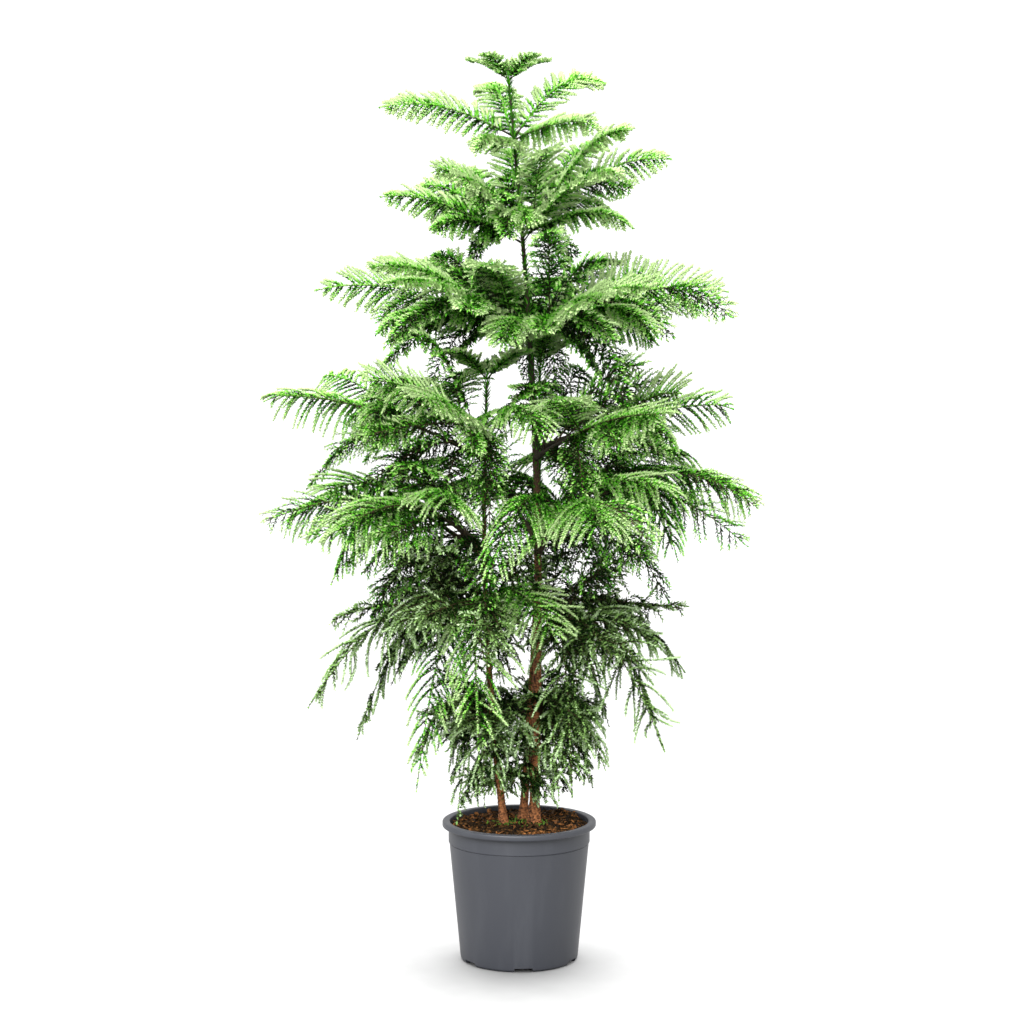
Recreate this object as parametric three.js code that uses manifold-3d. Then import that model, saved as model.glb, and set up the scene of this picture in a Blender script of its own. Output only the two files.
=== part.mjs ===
// A potted Norfolk Island pine: three stems in one nursery pot, with tiers of flat, fern-like foliage.
// Millimetres, +Z up. The origin is the centre of the pot's flat underside, and -Y faces the viewer.
import * as THREE from 'three';
import { mergeVertices } from 'three/addons/utils/BufferGeometryUtils.js';
import Module from 'manifold-3d';

const wasm = await Module();
wasm.setup();

// Clearance kept between neighbouring solids, and the distance within which two vertices are one.
const GAP = 0.3;
const MERGE = 1e-4;

// The pot: a tapered wall with a shoulder band, a turned-out lip and a foot that stands on a notched ring.
const POT = {
  height: 218,
  lipRadius: 120,
  lipHeight: 9,
  shoulderRadius: 110.4,
  shoulderDrop: 34,
  shoulderStep: 1.4,
  footRadius: 92,
  footEdge: 5,
  wall: 2.2,
  floor: 9.5,
  channelInner: 42,
  channelOuter: 77,
  channelHeight: 6.5,
  turns: 28,
};
const NOTCH = { count: 6, firstAzimuth: 274, width: 28, drainRadius: 6 };

// The soil fills the pot to just under its lip, level round the stems and falling a little to the wall.
const SOIL = { top: 213, edgeTop: 209, levelRadius: 62 };

// Each stem runs from a flat cut at the soil to its tip. Lean is how far the tip stands from the foot, and
// bow is how far the middle stands off the straight line between them. The flare widens the stem's foot.
const STEMS = [
  { name: 'main', foot: [23, -4], lean: [-39, 2], bow: [22, -4], tip: 1356, radius: 8, tipRadius: 1.6 },
  { name: 'left', foot: [-24, -10], lean: [-26, 6], bow: [-15, -4], tip: 900, radius: 6, tipRadius: 1.6 },
  { name: 'back', foot: [6, 24], lean: [26, 30], bow: [8, 8], tip: 925, radius: 6.5, tipRadius: 1.6 },
];
const STEM = { sides: 10, steps: 10, crowding: 1.5, flare: 0.35, flareHeight: 26, topRoom: 40 };

// The tiers, lowest first. Left, right and depth are how far the tips stand from the pot's axis. A frond
// climbs by rise up to its crest, a share of its length, and then falls by droop to its tip. Tilt and back
// are how much more the tier rises to the right and to the back. Front is how much further a frond falls
// that faces the viewer, and sag how much further the lower side fronds fall. Face is how far a frond at the
// side is rolled to turn its face to the viewer. Forks are the side fronds that a mass has, and hand is the
// way they turn from the main one. Spray is the length of the sprays, lift is their slope, and pairs is how
// many stand along each side of the main rib.
const TIERS = [
  { height: 375, count: 5, turn: 36, bough: false, forks: ['lower', 'upper'], spray: 68, lift: -0.4,
    hand: -1, pairs: 6, left: 172, right: 150, depth: 150, rise: 22, tilt: 0, back: 0,
    crest: 0.4, droop: 90, front: 30, sag: 55, face: 10 },
  { height: 525, count: 6, turn: 14, bough: false, forks: ['lower', 'upper'], spray: 82, lift: -0.38,
    hand: -1, pairs: 8, left: 345, right: 275, depth: 276, rise: 40, tilt: -0.4, back: 0,
    crest: 0.3, droop: 125, front: 95, sag: 95, face: 20 },
  { height: 640, count: 6, turn: -10, bough: true, forks: ['lower', 'upper'], spray: 92, lift: -0.35,
    hand: -1, pairs: 8, left: 384, right: 366, depth: 360, rise: 98, tilt: 0.12, back: 0.1,
    crest: 0.6, droop: 36, front: 0, sag: 96, face: 42 },
  { height: 790, count: 6, turn: 8, bough: true, forks: ['lower', 'upper'], spray: 80, lift: -0.2,
    hand: 1, pairs: 9, left: 392, right: 338, depth: 345, rise: 80, tilt: -0.2, back: 0.15,
    crest: 0.92, droop: 8, front: 0, sag: 46, face: 50 },
  { height: 975, count: 6, turn: -8, bough: false, forks: ['lower', 'upper'], spray: 58, lift: -0.12,
    hand: -1, pairs: 10, left: 306, right: 324, depth: 295, rise: 70, tilt: -0.05, back: 0.2,
    crest: 0.8, droop: 8, front: 0, sag: 38, face: 44 },
  { height: 1122, count: 6, turn: 10, bough: false, forks: ['lower', 'upper'], spray: 48, lift: -0.1,
    hand: 1, pairs: 10, left: 215, right: 232, depth: 206, rise: 98, tilt: 0.2, back: 0.3,
    crest: 0.9, droop: 2, front: 20, sag: 14, face: 42 },
  { height: 1268, count: 5, turn: 36, bough: false, forks: [], spray: 38, lift: -0.1,
    hand: -1, pairs: 12, left: 206, right: 160, depth: 150, rise: 56, tilt: 0.08, back: 1.05,
    crest: 0.75, droop: 6, front: 30, sag: 0, face: 48 },
];

// How a frond grows. Its rib is bare next to the stem, or next to the bough that carries it in the widest
// tiers. Neighbours on a stem are staggered in height so that their feet don't meet.
const FROND = {
  ribRadius: 3.4,
  ribTipRadius: 1.3,
  ribEnd: 0.93,
  bareEnd: 0.1,
  bow: 0.05,
  stagger: 6.5,
  heightScatter: 3,
  azimuthScatter: 7,
  reachScatter: 0.03,
  riseScatter: 0.15,
  droopScatter: 0.2,
  liftScatter: 0.15,
  roll: 20,
};
const BOUGH = { end: 0.26, radius: 4.6, sides: 6, steps: 2 };

// Side fronds fork from the main rib: one lower and one higher, turned to opposite sides. Reach, rise,
// crest, droop and sag are shares of the main frond's own. The lower one climbs from its fork, the higher
// one from the stem.
const FORKS = {
  lower: { channel: 0, fork: 0.07, turn: 29, fromFork: true,
    reach: 0.77, rise: 0.3, crest: 0.7, droop: 0.8, sag: 1, lift: -0.15 },
  upper: { channel: 1, fork: 0.1, turn: -27, fromFork: false,
    reach: 0.8, rise: 1.3, crest: 1, droop: 0.3, sag: 0, lift: 0.1 },
};
const FORK = { pairs: 0.65, spray: 0.85, ribRadius: 2.1, bareEnd: 0.22 };

// A spray of needles is a flat pointed blade, swept forward from the rib and longest in the middle of it.
const SPRAY = { sweep: 57, shortest: 0.6, guard: 1.5 };

// The tuft at each stem's tip: a short shoot with a ring of small fronds and an upright bud.
const TUFTS = {
  main: { count: 5, turn: 20, length: 66, rise: 32 },
  left: { count: 4, turn: 50, length: 86, rise: 44 },
  back: { count: 4, turn: 10, length: 82, rise: 42 },
};
const SHOOT = {
  radius: 2.2,
  height: 10,
  sides: 5,
  bud: 34,
  budRadius: 3.2,
  ribRadius: 1.6,
  bareEnd: 0.3,
  pairs: 2,
  spray: 0.38,
  lift: 0.1,
};

const MATERIALS = {
  pot: new THREE.MeshStandardMaterial({ color: 0x575b61, roughness: 0.55, metalness: 0 }),
  soil: new THREE.MeshStandardMaterial({ color: 0x3b2519, roughness: 0.95, metalness: 0 }),
  bark: new THREE.MeshStandardMaterial({ color: 0x7b5236, roughness: 0.85, metalness: 0 }),
  bough: new THREE.MeshStandardMaterial({ color: 0x4c5a2c, roughness: 0.8, metalness: 0 }),
  upper: new THREE.MeshStandardMaterial({ color: 0x79b45c, roughness: 0.6, metalness: 0 }),
  lower: new THREE.MeshStandardMaterial({ color: 0x47703f, roughness: 0.65, metalness: 0 }),
};
const FRESH_ABOVE = 900;

const radians = THREE.MathUtils.degToRad;
const UP = new THREE.Vector3(0, 0, 1);

// Seeded scatter: the same three whole numbers always give the same value between -1 and 1.
function scatter(tier, frond, channel) {
  const wave = Math.sin(tier * 12.9898 + frond * 78.233 + channel * 37.719) * 43758.5453;
  return 2 * (wave - Math.floor(wave)) - 1;
}

// A three.js geometry as a solid that can be joined and cut.
function solidOf(geometry) {
  const bare = geometry.clone();
  bare.deleteAttribute('normal');
  bare.deleteAttribute('uv');
  const merged = mergeVertices(bare, MERGE);
  return new wasm.Manifold(new wasm.Mesh({
    numProp: 3,
    vertProperties: merged.attributes.position.array,
    triVerts: Uint32Array.from(merged.index.array),
  }));
}

// A joined or cut solid as a three.js geometry with flat faces.
function geometryOf(solid) {
  const mesh = solid.getMesh();
  const indexed = new THREE.BufferGeometry();
  indexed.setAttribute('position', new THREE.BufferAttribute(mesh.vertProperties, mesh.numProp));
  indexed.setIndex(new THREE.BufferAttribute(mesh.triVerts, 1));
  const flat = indexed.toNonIndexed();
  flat.computeVertexNormals();
  return flat;
}

// Moves every vertex of a geometry by a rule.
function reshape(geometry, rule) {
  const places = geometry.getAttribute('position');
  const vertex = new THREE.Vector3();
  for (let i = 0; i < places.count; i += 1) {
    vertex.fromBufferAttribute(places, i);
    const moved = rule(vertex);
    places.setXYZ(i, moved.x, moved.y, moved.z);
  }
  return geometry;
}

// A solid of revolution about Z from points of radius and height.
function turned(points, turns) {
  const profile = points.map(([radius, height]) => new THREE.Vector2(radius, height));
  return new THREE.LatheGeometry(profile, turns).rotateX(Math.PI / 2);
}

// Radius of the pot's outer wall at a height, below the shoulder band.
function potRadius(height) {
  const share = (height - POT.footEdge) / (POT.height - POT.shoulderDrop - POT.footEdge);
  return POT.footRadius + share * (POT.shoulderRadius - POT.shoulderStep - POT.footRadius);
}

function makePot() {
  const lipBottom = POT.height - POT.lipHeight;
  const bandBottom = POT.height - POT.shoulderDrop;
  const innerTop = POT.shoulderRadius - POT.wall;
  const innerFoot = potRadius(POT.floor) - POT.wall;
  const channelSlope = POT.channelHeight;
  const profile = [
    [0, 0],
    [POT.channelInner - channelSlope, 0],
    [POT.channelInner, POT.channelHeight],
    [POT.channelOuter, POT.channelHeight],
    [POT.channelOuter + channelSlope, 0],
    [POT.footRadius - POT.footEdge, 0],
    [POT.footRadius, POT.footEdge],
    [potRadius(bandBottom), bandBottom],
    [potRadius(bandBottom) + POT.shoulderStep, bandBottom + POT.shoulderStep],
    [POT.shoulderRadius, lipBottom],
    [POT.lipRadius - POT.wall / 2, lipBottom],
    [POT.lipRadius, lipBottom + POT.wall],
    [POT.lipRadius, POT.height - POT.wall],
    [POT.lipRadius - POT.wall, POT.height],
    [innerTop + POT.wall, POT.height],
    [innerTop, lipBottom],
    [innerFoot, POT.floor],
    [0, POT.floor],
  ];
  let pot = solidOf(turned(profile, POT.turns));
  const notchLength = POT.footRadius - POT.channelOuter + 2 * POT.channelHeight;
  for (let i = 0; i < NOTCH.count; i += 1) {
    const azimuth = radians(NOTCH.firstAzimuth + (i * 360) / NOTCH.count);
    const notch = new THREE.BoxGeometry(notchLength, NOTCH.width, 2 * POT.channelHeight);
    notch.translate(POT.channelOuter + notchLength / 2, 0, 0).rotateZ(azimuth);
    const drain = new THREE.CylinderGeometry(NOTCH.drainRadius, NOTCH.drainRadius, 4 * POT.floor, 8);
    drain.rotateX(Math.PI / 2).translate((POT.channelInner + POT.channelOuter) / 2, 0, 0).rotateZ(azimuth);
    pot = pot.subtract(solidOf(notch)).subtract(solidOf(drain));
  }
  return geometryOf(pot);
}

function makeSoil() {
  const bottom = POT.floor + GAP;
  const slope = (POT.shoulderRadius - potRadius(POT.floor)) / (POT.height - POT.lipHeight - POT.floor);
  const inside = (height) => potRadius(POT.floor) - POT.wall - GAP + slope * (height - POT.floor);
  return turned([
    [0, bottom],
    [inside(bottom), bottom],
    [inside(SOIL.edgeTop), SOIL.edgeTop],
    [SOIL.levelRadius, SOIL.top],
    [0, SOIL.top],
  ], POT.turns);
}

// A stem's centre and radius at one of its rings, on its true curve.
const stemFoot = SOIL.top + GAP;
function stemRing(stem, index) {
  const share = (index / STEM.steps) ** STEM.crowding;
  const height = THREE.MathUtils.lerp(stemFoot, stem.tip, share);
  const bulge = Math.sin(Math.PI * share);
  const flare = STEM.flare * Math.max(0, 1 - (height - stemFoot) / STEM.flareHeight) ** 2;
  return {
    height,
    x: stem.foot[0] + stem.lean[0] * share + stem.bow[0] * bulge,
    y: stem.foot[1] + stem.lean[1] * share + stem.bow[1] * bulge,
    radius: THREE.MathUtils.lerp(stem.radius, stem.tipRadius, share) * (1 + flare),
  };
}

// A stem's centre and radius at a height, straight from one ring to the next.
function stemAt(stem, height) {
  let index = 0;
  while (index + 2 <= STEM.steps && stemRing(stem, index + 1).height < height) index += 1;
  const below = stemRing(stem, index);
  const above = stemRing(stem, index + 1);
  const share = (height - below.height) / (above.height - below.height);
  const between = (key) => THREE.MathUtils.lerp(below[key], above[key], share);
  return { x: between('x'), y: between('y'), radius: between('radius') };
}

function makeStem(stem) {
  const rod = new THREE.CylinderGeometry(1, 1, 1, STEM.sides, STEM.steps).rotateX(Math.PI / 2);
  return reshape(rod, (vertex) => {
    const ring = stemRing(stem, Math.round((vertex.z + 0.5) * STEM.steps));
    return new THREE.Vector3(ring.x + vertex.x * ring.radius, ring.y + vertex.y * ring.radius, ring.height);
  });
}

// The curve that a rib follows from its base to its tip: a place and a direction at a share of its length.
class Spine {
  constructor({ base, tip, rise, crest, droop, bow }) {
    Object.assign(this, { base, tip, rise, crest, droop, bow });
    this.plan = new THREE.Vector3().subVectors(tip, base).setZ(0);
    this.aside = new THREE.Vector3().crossVectors(this.plan, UP);
  }

  height(share) {
    if (share < this.crest) return this.base.z + this.rise * Math.sin((Math.PI / 2) * (share / this.crest));
    const past = this.crest < 1 ? (share - this.crest) / (1 - this.crest) : 0;
    return this.base.z + this.rise - this.droop * past ** 2;
  }

  at(share) {
    const place = this.base.clone().addScaledVector(this.plan, share);
    place.addScaledVector(this.aside, this.bow * Math.sin(Math.PI * share));
    return place.setZ(this.height(share));
  }

  along(share) {
    const step = 0.01;
    return this.at(share + step).sub(this.at(share - step)).normalize();
  }
}

// The directions at a share of a spine: along it, to its right and above it.
function frameAt(spine, share, upright) {
  const along = spine.along(share);
  if (upright) along.setZ(0).normalize();
  const right = new THREE.Vector3().crossVectors(along, UP).normalize();
  return { along, right, above: new THREE.Vector3().crossVectors(right, along) };
}

// A bough: a tapering limb along the first part of a spine, with an upright end where it meets the stem.
function makeBough(spine, from) {
  const rod = new THREE.CylinderGeometry(1, 1, 1, BOUGH.sides, BOUGH.steps);
  return reshape(rod, (vertex) => {
    const run = THREE.MathUtils.clamp(vertex.y + 0.5, 0, 1);
    const share = THREE.MathUtils.lerp(from, BOUGH.end, run);
    const { right, above } = frameAt(spine, share, run === 0);
    const radius = THREE.MathUtils.lerp(BOUGH.radius, FROND.ribRadius, run);
    const centre = spine.at(share);
    return centre.addScaledVector(right, vertex.x * radius).addScaledVector(above, vertex.z * radius);
  });
}

// The box that a spray needs to itself, with a little room round it.
function guardOf({ root, out, rear, length, width }) {
  const thickness = 2 * (FROND.ribTipRadius + SPRAY.guard);
  const box = new THREE.BoxGeometry(length, width + 2 * SPRAY.guard, thickness);
  const above = new THREE.Vector3().crossVectors(out, rear).normalize();
  box.applyMatrix4(new THREE.Matrix4().makeBasis(out, rear, above));
  const middle = root.clone().addScaledVector(out, length / 2 + SPRAY.guard);
  return solidOf(box.translate(middle.x, middle.y, middle.z));
}

// A frond as one closed blade. Its rib has a diamond section at every station, and between two stations each
// side is either a plain edge or a spray, whose outline runs out from the rib to a point and back to it.
class Frond {
  constructor(spine, { from, bareEnd, pairs, ribRadius, length, lift, roll, upright }) {
    const { lerp } = THREE.MathUtils;
    this.spine = spine;
    this.roll = radians(roll);
    this.length = length;
    this.lift = lift;
    this.shares = [from];
    for (let i = 0; i <= pairs; i += 1) this.shares.push(lerp(bareEnd, FROND.ribEnd, i / pairs));
    this.rings = this.shares.map((share, i) => {
      const radius = lerp(ribRadius, FROND.ribTipRadius, (share - from) / (FROND.ribEnd - from));
      return this.ring(share, radius, upright && i === 0);
    });
  }

  // The directions at a share of the rib, rolled about it.
  frame(share, upright) {
    const { along, right, above } = frameAt(this.spine, share, upright);
    const turn = upright ? 0 : this.roll;
    const rolledRight = right.clone().multiplyScalar(Math.cos(turn)).addScaledVector(above, Math.sin(turn));
    return { along, right: rolledRight, above: new THREE.Vector3().crossVectors(rolledRight, along) };
  }

  ring(share, radius, upright) {
    const { right, above } = this.frame(share, upright);
    const corner = (way, sign) => this.spine.at(share).addScaledVector(way, sign * radius);
    return {
      top: corner(above, 1),
      under: corner(above, -1),
      edge: { 1: corner(right, 1), [-1]: corner(right, -1) },
    };
  }

  // The spray between two stations: its root, its direction, the way its rear edge faces, and its size.
  spray(step, side) {
    const share = (this.shares[step] + this.shares[step + 1]) / 2;
    const { along, right } = this.frame(share, false);
    const sweep = radians(SPRAY.sweep);
    const out = along.clone().multiplyScalar(Math.cos(sweep)).addScaledVector(right, side * Math.sin(sweep));
    out.z += this.lift;
    out.normalize();
    const rear = out.clone().multiplyScalar(along.dot(out)).sub(along).normalize();
    const room = this.spine.at(this.shares[step]).distanceTo(this.spine.at(this.shares[step + 1]));
    return {
      root: this.spine.at(share),
      out,
      rear,
      length: this.length * THREE.MathUtils.lerp(SPRAY.shortest, 1, Math.sin(Math.PI * share)),
      width: room * Math.sin(sweep),
    };
  }

  // The faces of one side of the rib between two stations, taken anticlockwise as seen from above.
  sideFaces(step, side, hasRoom) {
    const ends = [this.rings[step], this.rings[step + 1]];
    const [near, far] = side > 0 ? ends : ends.toReversed();
    const nearEdge = near.edge[side];
    const farEdge = far.edge[side];
    const spray = this.spray(step, side);
    if (step === 0 || !hasRoom(spray)) {
      const upper = [near.top, nearEdge, farEdge, near.top, farEdge, far.top];
      const lower = [far.under, farEdge, nearEdge, far.under, nearEdge, near.under];
      return [...upper, ...lower];
    }
    const point = spray.root.clone().addScaledVector(spray.out, spray.length);
    return [
      near.top, nearEdge, point, near.top, point, far.top, far.top, point, farEdge,
      near.under, point, nearEdge, far.under, point, near.under, far.under, farEdge, point,
    ];
  }

  // The closed blade with the sprays that have room.
  geometry(hasRoom) {
    const first = this.rings[0];
    const corners = [
      first.top, first.edge[-1], first.edge[1],
      first.under, first.edge[1], first.edge[-1],
    ];
    for (let step = 0; step + 1 < this.rings.length; step += 1) {
      corners.push(...this.sideFaces(step, 1, hasRoom), ...this.sideFaces(step, -1, hasRoom));
    }
    const last = this.rings.at(-1);
    const tip = this.spine.at(1);
    corners.push(
      last.top, last.edge[1], tip,
      last.edge[1], last.under, tip,
      last.under, last.edge[-1], tip,
      last.edge[-1], last.top, tip,
    );
    return new THREE.BufferGeometry().setFromPoints(corners);
  }
}

// The stem that stands furthest towards an azimuth carries the fronds on that side.
function bearer(azimuth, height) {
  const tall = STEMS.filter((stem) => stem.tip > height + STEM.topRoom);
  const towards = (stem) => {
    const at = stemAt(stem, height);
    return at.x * Math.cos(azimuth) + at.y * Math.sin(azimuth);
  };
  return tall.reduce((best, stem) => (towards(stem) > towards(best) ? stem : best));
}

// Where a frond's tip stands, level with the origin, at a share of its tier's reach.
function tipAt(tier, azimuth, share) {
  const sideways = Math.cos(azimuth);
  const side = sideways > 0 ? tier.right : tier.left;
  const reach = tier.depth + (side - tier.depth) * sideways ** 2;
  return new THREE.Vector3(sideways, Math.sin(azimuth), 0).multiplyScalar(reach * share);
}

// One mass of a tier: its main frond and its side fronds, and the bough that carries them where it has one.
function planMass(tier, level, index) {
  const mix = (channel) => scatter(level, index, channel);
  const azimuth = radians(tier.turn + (index * 360) / tier.count + FROND.azimuthScatter * mix(1));
  const isOddOneOut = index % 2 === 0 && index + 1 === tier.count;
  const stagger = isOddOneOut ? 0 : FROND.stagger * (-1) ** index;
  const height = tier.height + stagger + FROND.heightScatter * mix(2);
  const stem = bearer(azimuth, height);
  const at = stemAt(stem, height);
  const above = stemAt(stem, height + BOUGH.radius);
  const leanOut = Math.abs((above.x - at.x) * Math.cos(azimuth) + (above.y - at.y) * Math.sin(azimuth));
  const reach = 1 + FROND.reachScatter * mix(3);
  const slope = tier.tilt * Math.cos(azimuth) + tier.back * Math.sin(azimuth);
  const rise = tier.rise * (1 + FROND.riseScatter * mix(4) + slope);
  const facing = Math.max(0, -Math.sin(azimuth));
  const droop = tier.droop * (1 + FROND.droopScatter * mix(5)) + tier.front * facing ** 2;
  const lift = tier.lift + FROND.liftScatter * mix(6);
  const base = new THREE.Vector3(at.x, at.y, height);
  const tip = tipAt(tier, azimuth, reach);
  const spine = new Spine({ base, tip, rise, crest: tier.crest, droop, bow: FROND.bow * mix(7) });
  const start = (at.radius + GAP + leanOut) / spine.plan.length();
  const massStart = tier.bough ? BOUGH.end + GAP / spine.plan.length() : start;
  const main = new Frond(spine, {
    from: massStart,
    bareEnd: tier.bough ? BOUGH.end + FORKS.lower.fork : FROND.bareEnd,
    pairs: tier.pairs,
    ribRadius: FROND.ribRadius,
    length: tier.spray,
    lift,
    roll: FROND.roll * mix(8) - tier.face * Math.cos(azimuth),
    upright: !tier.bough,
  });
  const sides = tier.forks.map((kind) => {
    const side = FORKS[kind];
    const sideAzimuth = azimuth + radians(side.turn) * tier.hand;
    const fork = spine.at(massStart + side.fork);
    const sideSpine = new Spine({
      base: fork,
      tip: tipAt(tier, sideAzimuth, reach * side.reach),
      rise: rise * side.rise - (side.fromFork ? 0 : fork.z - height),
      crest: tier.crest * side.crest,
      droop: droop * side.droop + tier.sag * side.sag,
      bow: FROND.bow * mix(9 + side.channel),
    });
    return new Frond(sideSpine, {
      from: 0,
      bareEnd: FORK.bareEnd,
      pairs: Math.round(tier.pairs * FORK.pairs),
      ribRadius: FORK.ribRadius,
      length: tier.spray * FORK.spray,
      lift: lift + side.lift,
      roll: FROND.roll * mix(11 + side.channel) - tier.face * Math.cos(sideAzimuth),
      upright: false,
    });
  });
  return { fronds: [main, ...sides], bough: tier.bough ? makeBough(spine, start) : null };
}

// The shoot and bud of a tuft, and the small fronds round it.
function planTuft(stem) {
  const { count, turn, length, rise } = TUFTS[stem.name];
  const top = stemAt(stem, stem.tip);
  const foot = new THREE.Vector3(top.x, top.y, stem.tip + GAP);
  const shoot = new THREE.CylinderGeometry(SHOOT.radius, SHOOT.radius, SHOOT.height, SHOOT.sides);
  shoot.rotateX(Math.PI / 2).translate(foot.x, foot.y, foot.z + SHOOT.height / 2);
  const bud = new THREE.ConeGeometry(SHOOT.budRadius, SHOOT.bud, SHOOT.sides);
  bud.rotateX(Math.PI / 2).translate(foot.x, foot.y, foot.z + SHOOT.height / 2 + SHOOT.bud / 2);
  const fronds = [];
  for (let i = 0; i < count; i += 1) {
    const azimuth = radians(turn + (i * 360) / count);
    const base = foot.clone().setZ(foot.z + SHOOT.height / 2);
    const reach = new THREE.Vector3(Math.cos(azimuth), Math.sin(azimuth), 0).multiplyScalar(length);
    const tip = base.clone().add(reach);
    const spine = new Spine({ base, tip, rise, crest: 1, droop: 0, bow: 0 });
    fronds.push(new Frond(spine, {
      from: 0,
      bareEnd: SHOOT.bareEnd,
      pairs: SHOOT.pairs,
      ribRadius: SHOOT.ribRadius,
      length: length * SHOOT.spray,
      lift: SHOOT.lift,
      roll: 0,
      upright: false,
    }));
  }
  return { fronds, core: [solidOf(shoot), solidOf(bud)] };
}

const root = new THREE.Group();
root.name = 'norfolk_island_pine';

function addNode(name, geometry, material) {
  const mesh = new THREE.Mesh(geometry, material);
  mesh.name = name;
  root.add(mesh);
}

addNode('pot', makePot(), MATERIALS.pot);
addNode('soil', makeSoil(), MATERIALS.soil);

// Every limb is placed before any spray, so that a spray that would touch another mass or limb is skipped.
const placed = [];
function place(owner, solid) {
  placed.push({ owner, solid, box: solid.boundingBox() });
}

function boxesMeet(a, b) {
  return [0, 1, 2].every((axis) => a.min[axis] < b.max[axis] && b.min[axis] < a.max[axis]);
}

function isClear(owner, guard) {
  const box = guard.boundingBox();
  return placed.every((other) => other.owner === owner || !boxesMeet(box, other.box)
    || guard.intersect(other.solid).isEmpty());
}

for (const stem of STEMS) {
  const name = 'stem_' + stem.name;
  const geometry = makeStem(stem);
  place(name, solidOf(geometry));
  addNode(name, geometry, MATERIALS.bark);
}

const masses = [];
TIERS.forEach((tier, tierIndex) => {
  const tierName = 'tier' + (tierIndex + 1);
  for (let index = 0; index < tier.count; index += 1) {
    const { fronds, bough } = planMass(tier, tierIndex + 1, index);
    if (bough) {
      const boughName = tierName + '_bough_' + (index + 1);
      place(boughName, solidOf(bough));
      addNode(boughName, bough, MATERIALS.bough);
    }
    const material = tier.height > FRESH_ABOVE ? MATERIALS.upper : MATERIALS.lower;
    masses.push({ name: tierName + '_foliage_' + (index + 1), fronds, core: [], material });
  }
});
for (const stem of STEMS) {
  masses.push({ name: stem.name + '_tuft', ...planTuft(stem), material: MATERIALS.upper });
}

for (const { name, fronds, core } of masses) {
  core.forEach((solid) => place(name, solid));
  fronds.forEach((frond) => place(name, solidOf(frond.geometry(() => false))));
}
for (const { name, fronds, core, material } of masses) {
  const hasRoom = (spray) => isClear(name, guardOf(spray));
  const blades = fronds.map((frond) => solidOf(frond.geometry(hasRoom)));
  const mass = wasm.Manifold.union([...core, ...blades]);
  place(name, mass);
  addNode(name, geometryOf(mass), material);
}

export default root;
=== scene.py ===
"""A potted Norfolk Island pine: scaly stems, fern-like fronds of fine needles, loose soil and a moulded pot.

Sizes are millimetres unless a name says otherwise, and MM turns them into Blender's metres. +Z is up, the
origin is the centre of the pot's flat underside, and -Y faces the viewer.
"""

import logging
import math
from collections import defaultdict
from collections.abc import Callable, Sequence
from dataclasses import dataclass, field, replace
from enum import Enum, IntEnum
from functools import partial
from operator import methodcaller
from typing import Any, ClassVar

import bpy
import numpy as np
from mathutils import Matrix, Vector


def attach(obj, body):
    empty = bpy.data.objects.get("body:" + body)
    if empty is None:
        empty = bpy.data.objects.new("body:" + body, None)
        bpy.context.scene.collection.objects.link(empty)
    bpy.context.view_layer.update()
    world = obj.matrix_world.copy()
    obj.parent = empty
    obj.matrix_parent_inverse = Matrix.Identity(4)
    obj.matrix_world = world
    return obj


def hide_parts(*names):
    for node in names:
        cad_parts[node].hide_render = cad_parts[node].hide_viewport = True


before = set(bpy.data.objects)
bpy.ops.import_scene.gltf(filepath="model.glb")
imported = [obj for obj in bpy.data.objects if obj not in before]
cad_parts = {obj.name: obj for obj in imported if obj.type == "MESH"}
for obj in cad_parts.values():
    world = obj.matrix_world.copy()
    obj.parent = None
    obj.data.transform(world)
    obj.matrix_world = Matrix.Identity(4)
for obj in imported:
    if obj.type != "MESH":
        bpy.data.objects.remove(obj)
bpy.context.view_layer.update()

LOG = logging.getLogger("norfolk_pine")
BODY = "root"
MM = 0.001
UP = np.array([0.0, 0.0, 1.0])
ACROSS = np.array([1.0, 0.0, 0.0])
GOLDEN_ANGLE = math.pi * (3.0 - math.sqrt(5.0))
PIECE_TRIANGLES = 180_000
UPPER_FROM = 900.0
RELIEF = "relief"
SCATTER_STEPS = (12.9898, 78.233, 37.719)
SCATTER_GAIN = 43758.5453

# The colour sockets of a Mix node that mixes colours.
MIX_A = 6
MIX_B = 7
MIX_RESULT = 2

Array = np.ndarray


def linear(colour: str) -> tuple[float, float, float, float]:
    """Turns an sRGB hex colour into Blender's linear colour.

    Args:
        colour: Six hex digits after a hash.

    Returns:
        Linear red, green and blue, with full alpha.
    """
    channels = [int(colour[i:i + 2], 16) / 255.0 for i in (1, 3, 5)]
    red, green, blue = (c / 12.92 if c <= 0.04045 else ((c + 0.055) / 1.055) ** 2.4 for c in channels)
    return red, green, blue, 1.0


def add_node(
    tree: bpy.types.NodeTree, kind: str, inputs: dict[str | int, Any] | None = None, **settings: Any
) -> bpy.types.Node:
    """Adds a node with its settings and links.

    Args:
        tree: The material's node tree.
        kind: The node's type.
        inputs: Values for its input sockets, by name or index. A socket as a value is linked.
        **settings: Values for the node's own properties.

    Returns:
        The new node.
    """
    node = tree.nodes.new(kind)
    for name, value in settings.items():
        setattr(node, name, value)
    for name, value in (inputs or {}).items():
        if isinstance(value, bpy.types.NodeSocket):
            tree.links.new(value, node.inputs[name])
        else:
            node.inputs[name].default_value = value
    return node


def unit(vectors: Array) -> Array:
    """The same directions, each one long."""
    return vectors / np.linalg.norm(vectors, axis=-1, keepdims=True)


def heading(azimuth: float) -> Array:
    """The level direction of an azimuth in radians."""
    return np.array([math.cos(azimuth), math.sin(azimuth), 0.0])


def blend(low: Any, high: Any, share: Any) -> Any:
    """The value a share of the way from low to high."""
    return low + (high - low) * share


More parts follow.
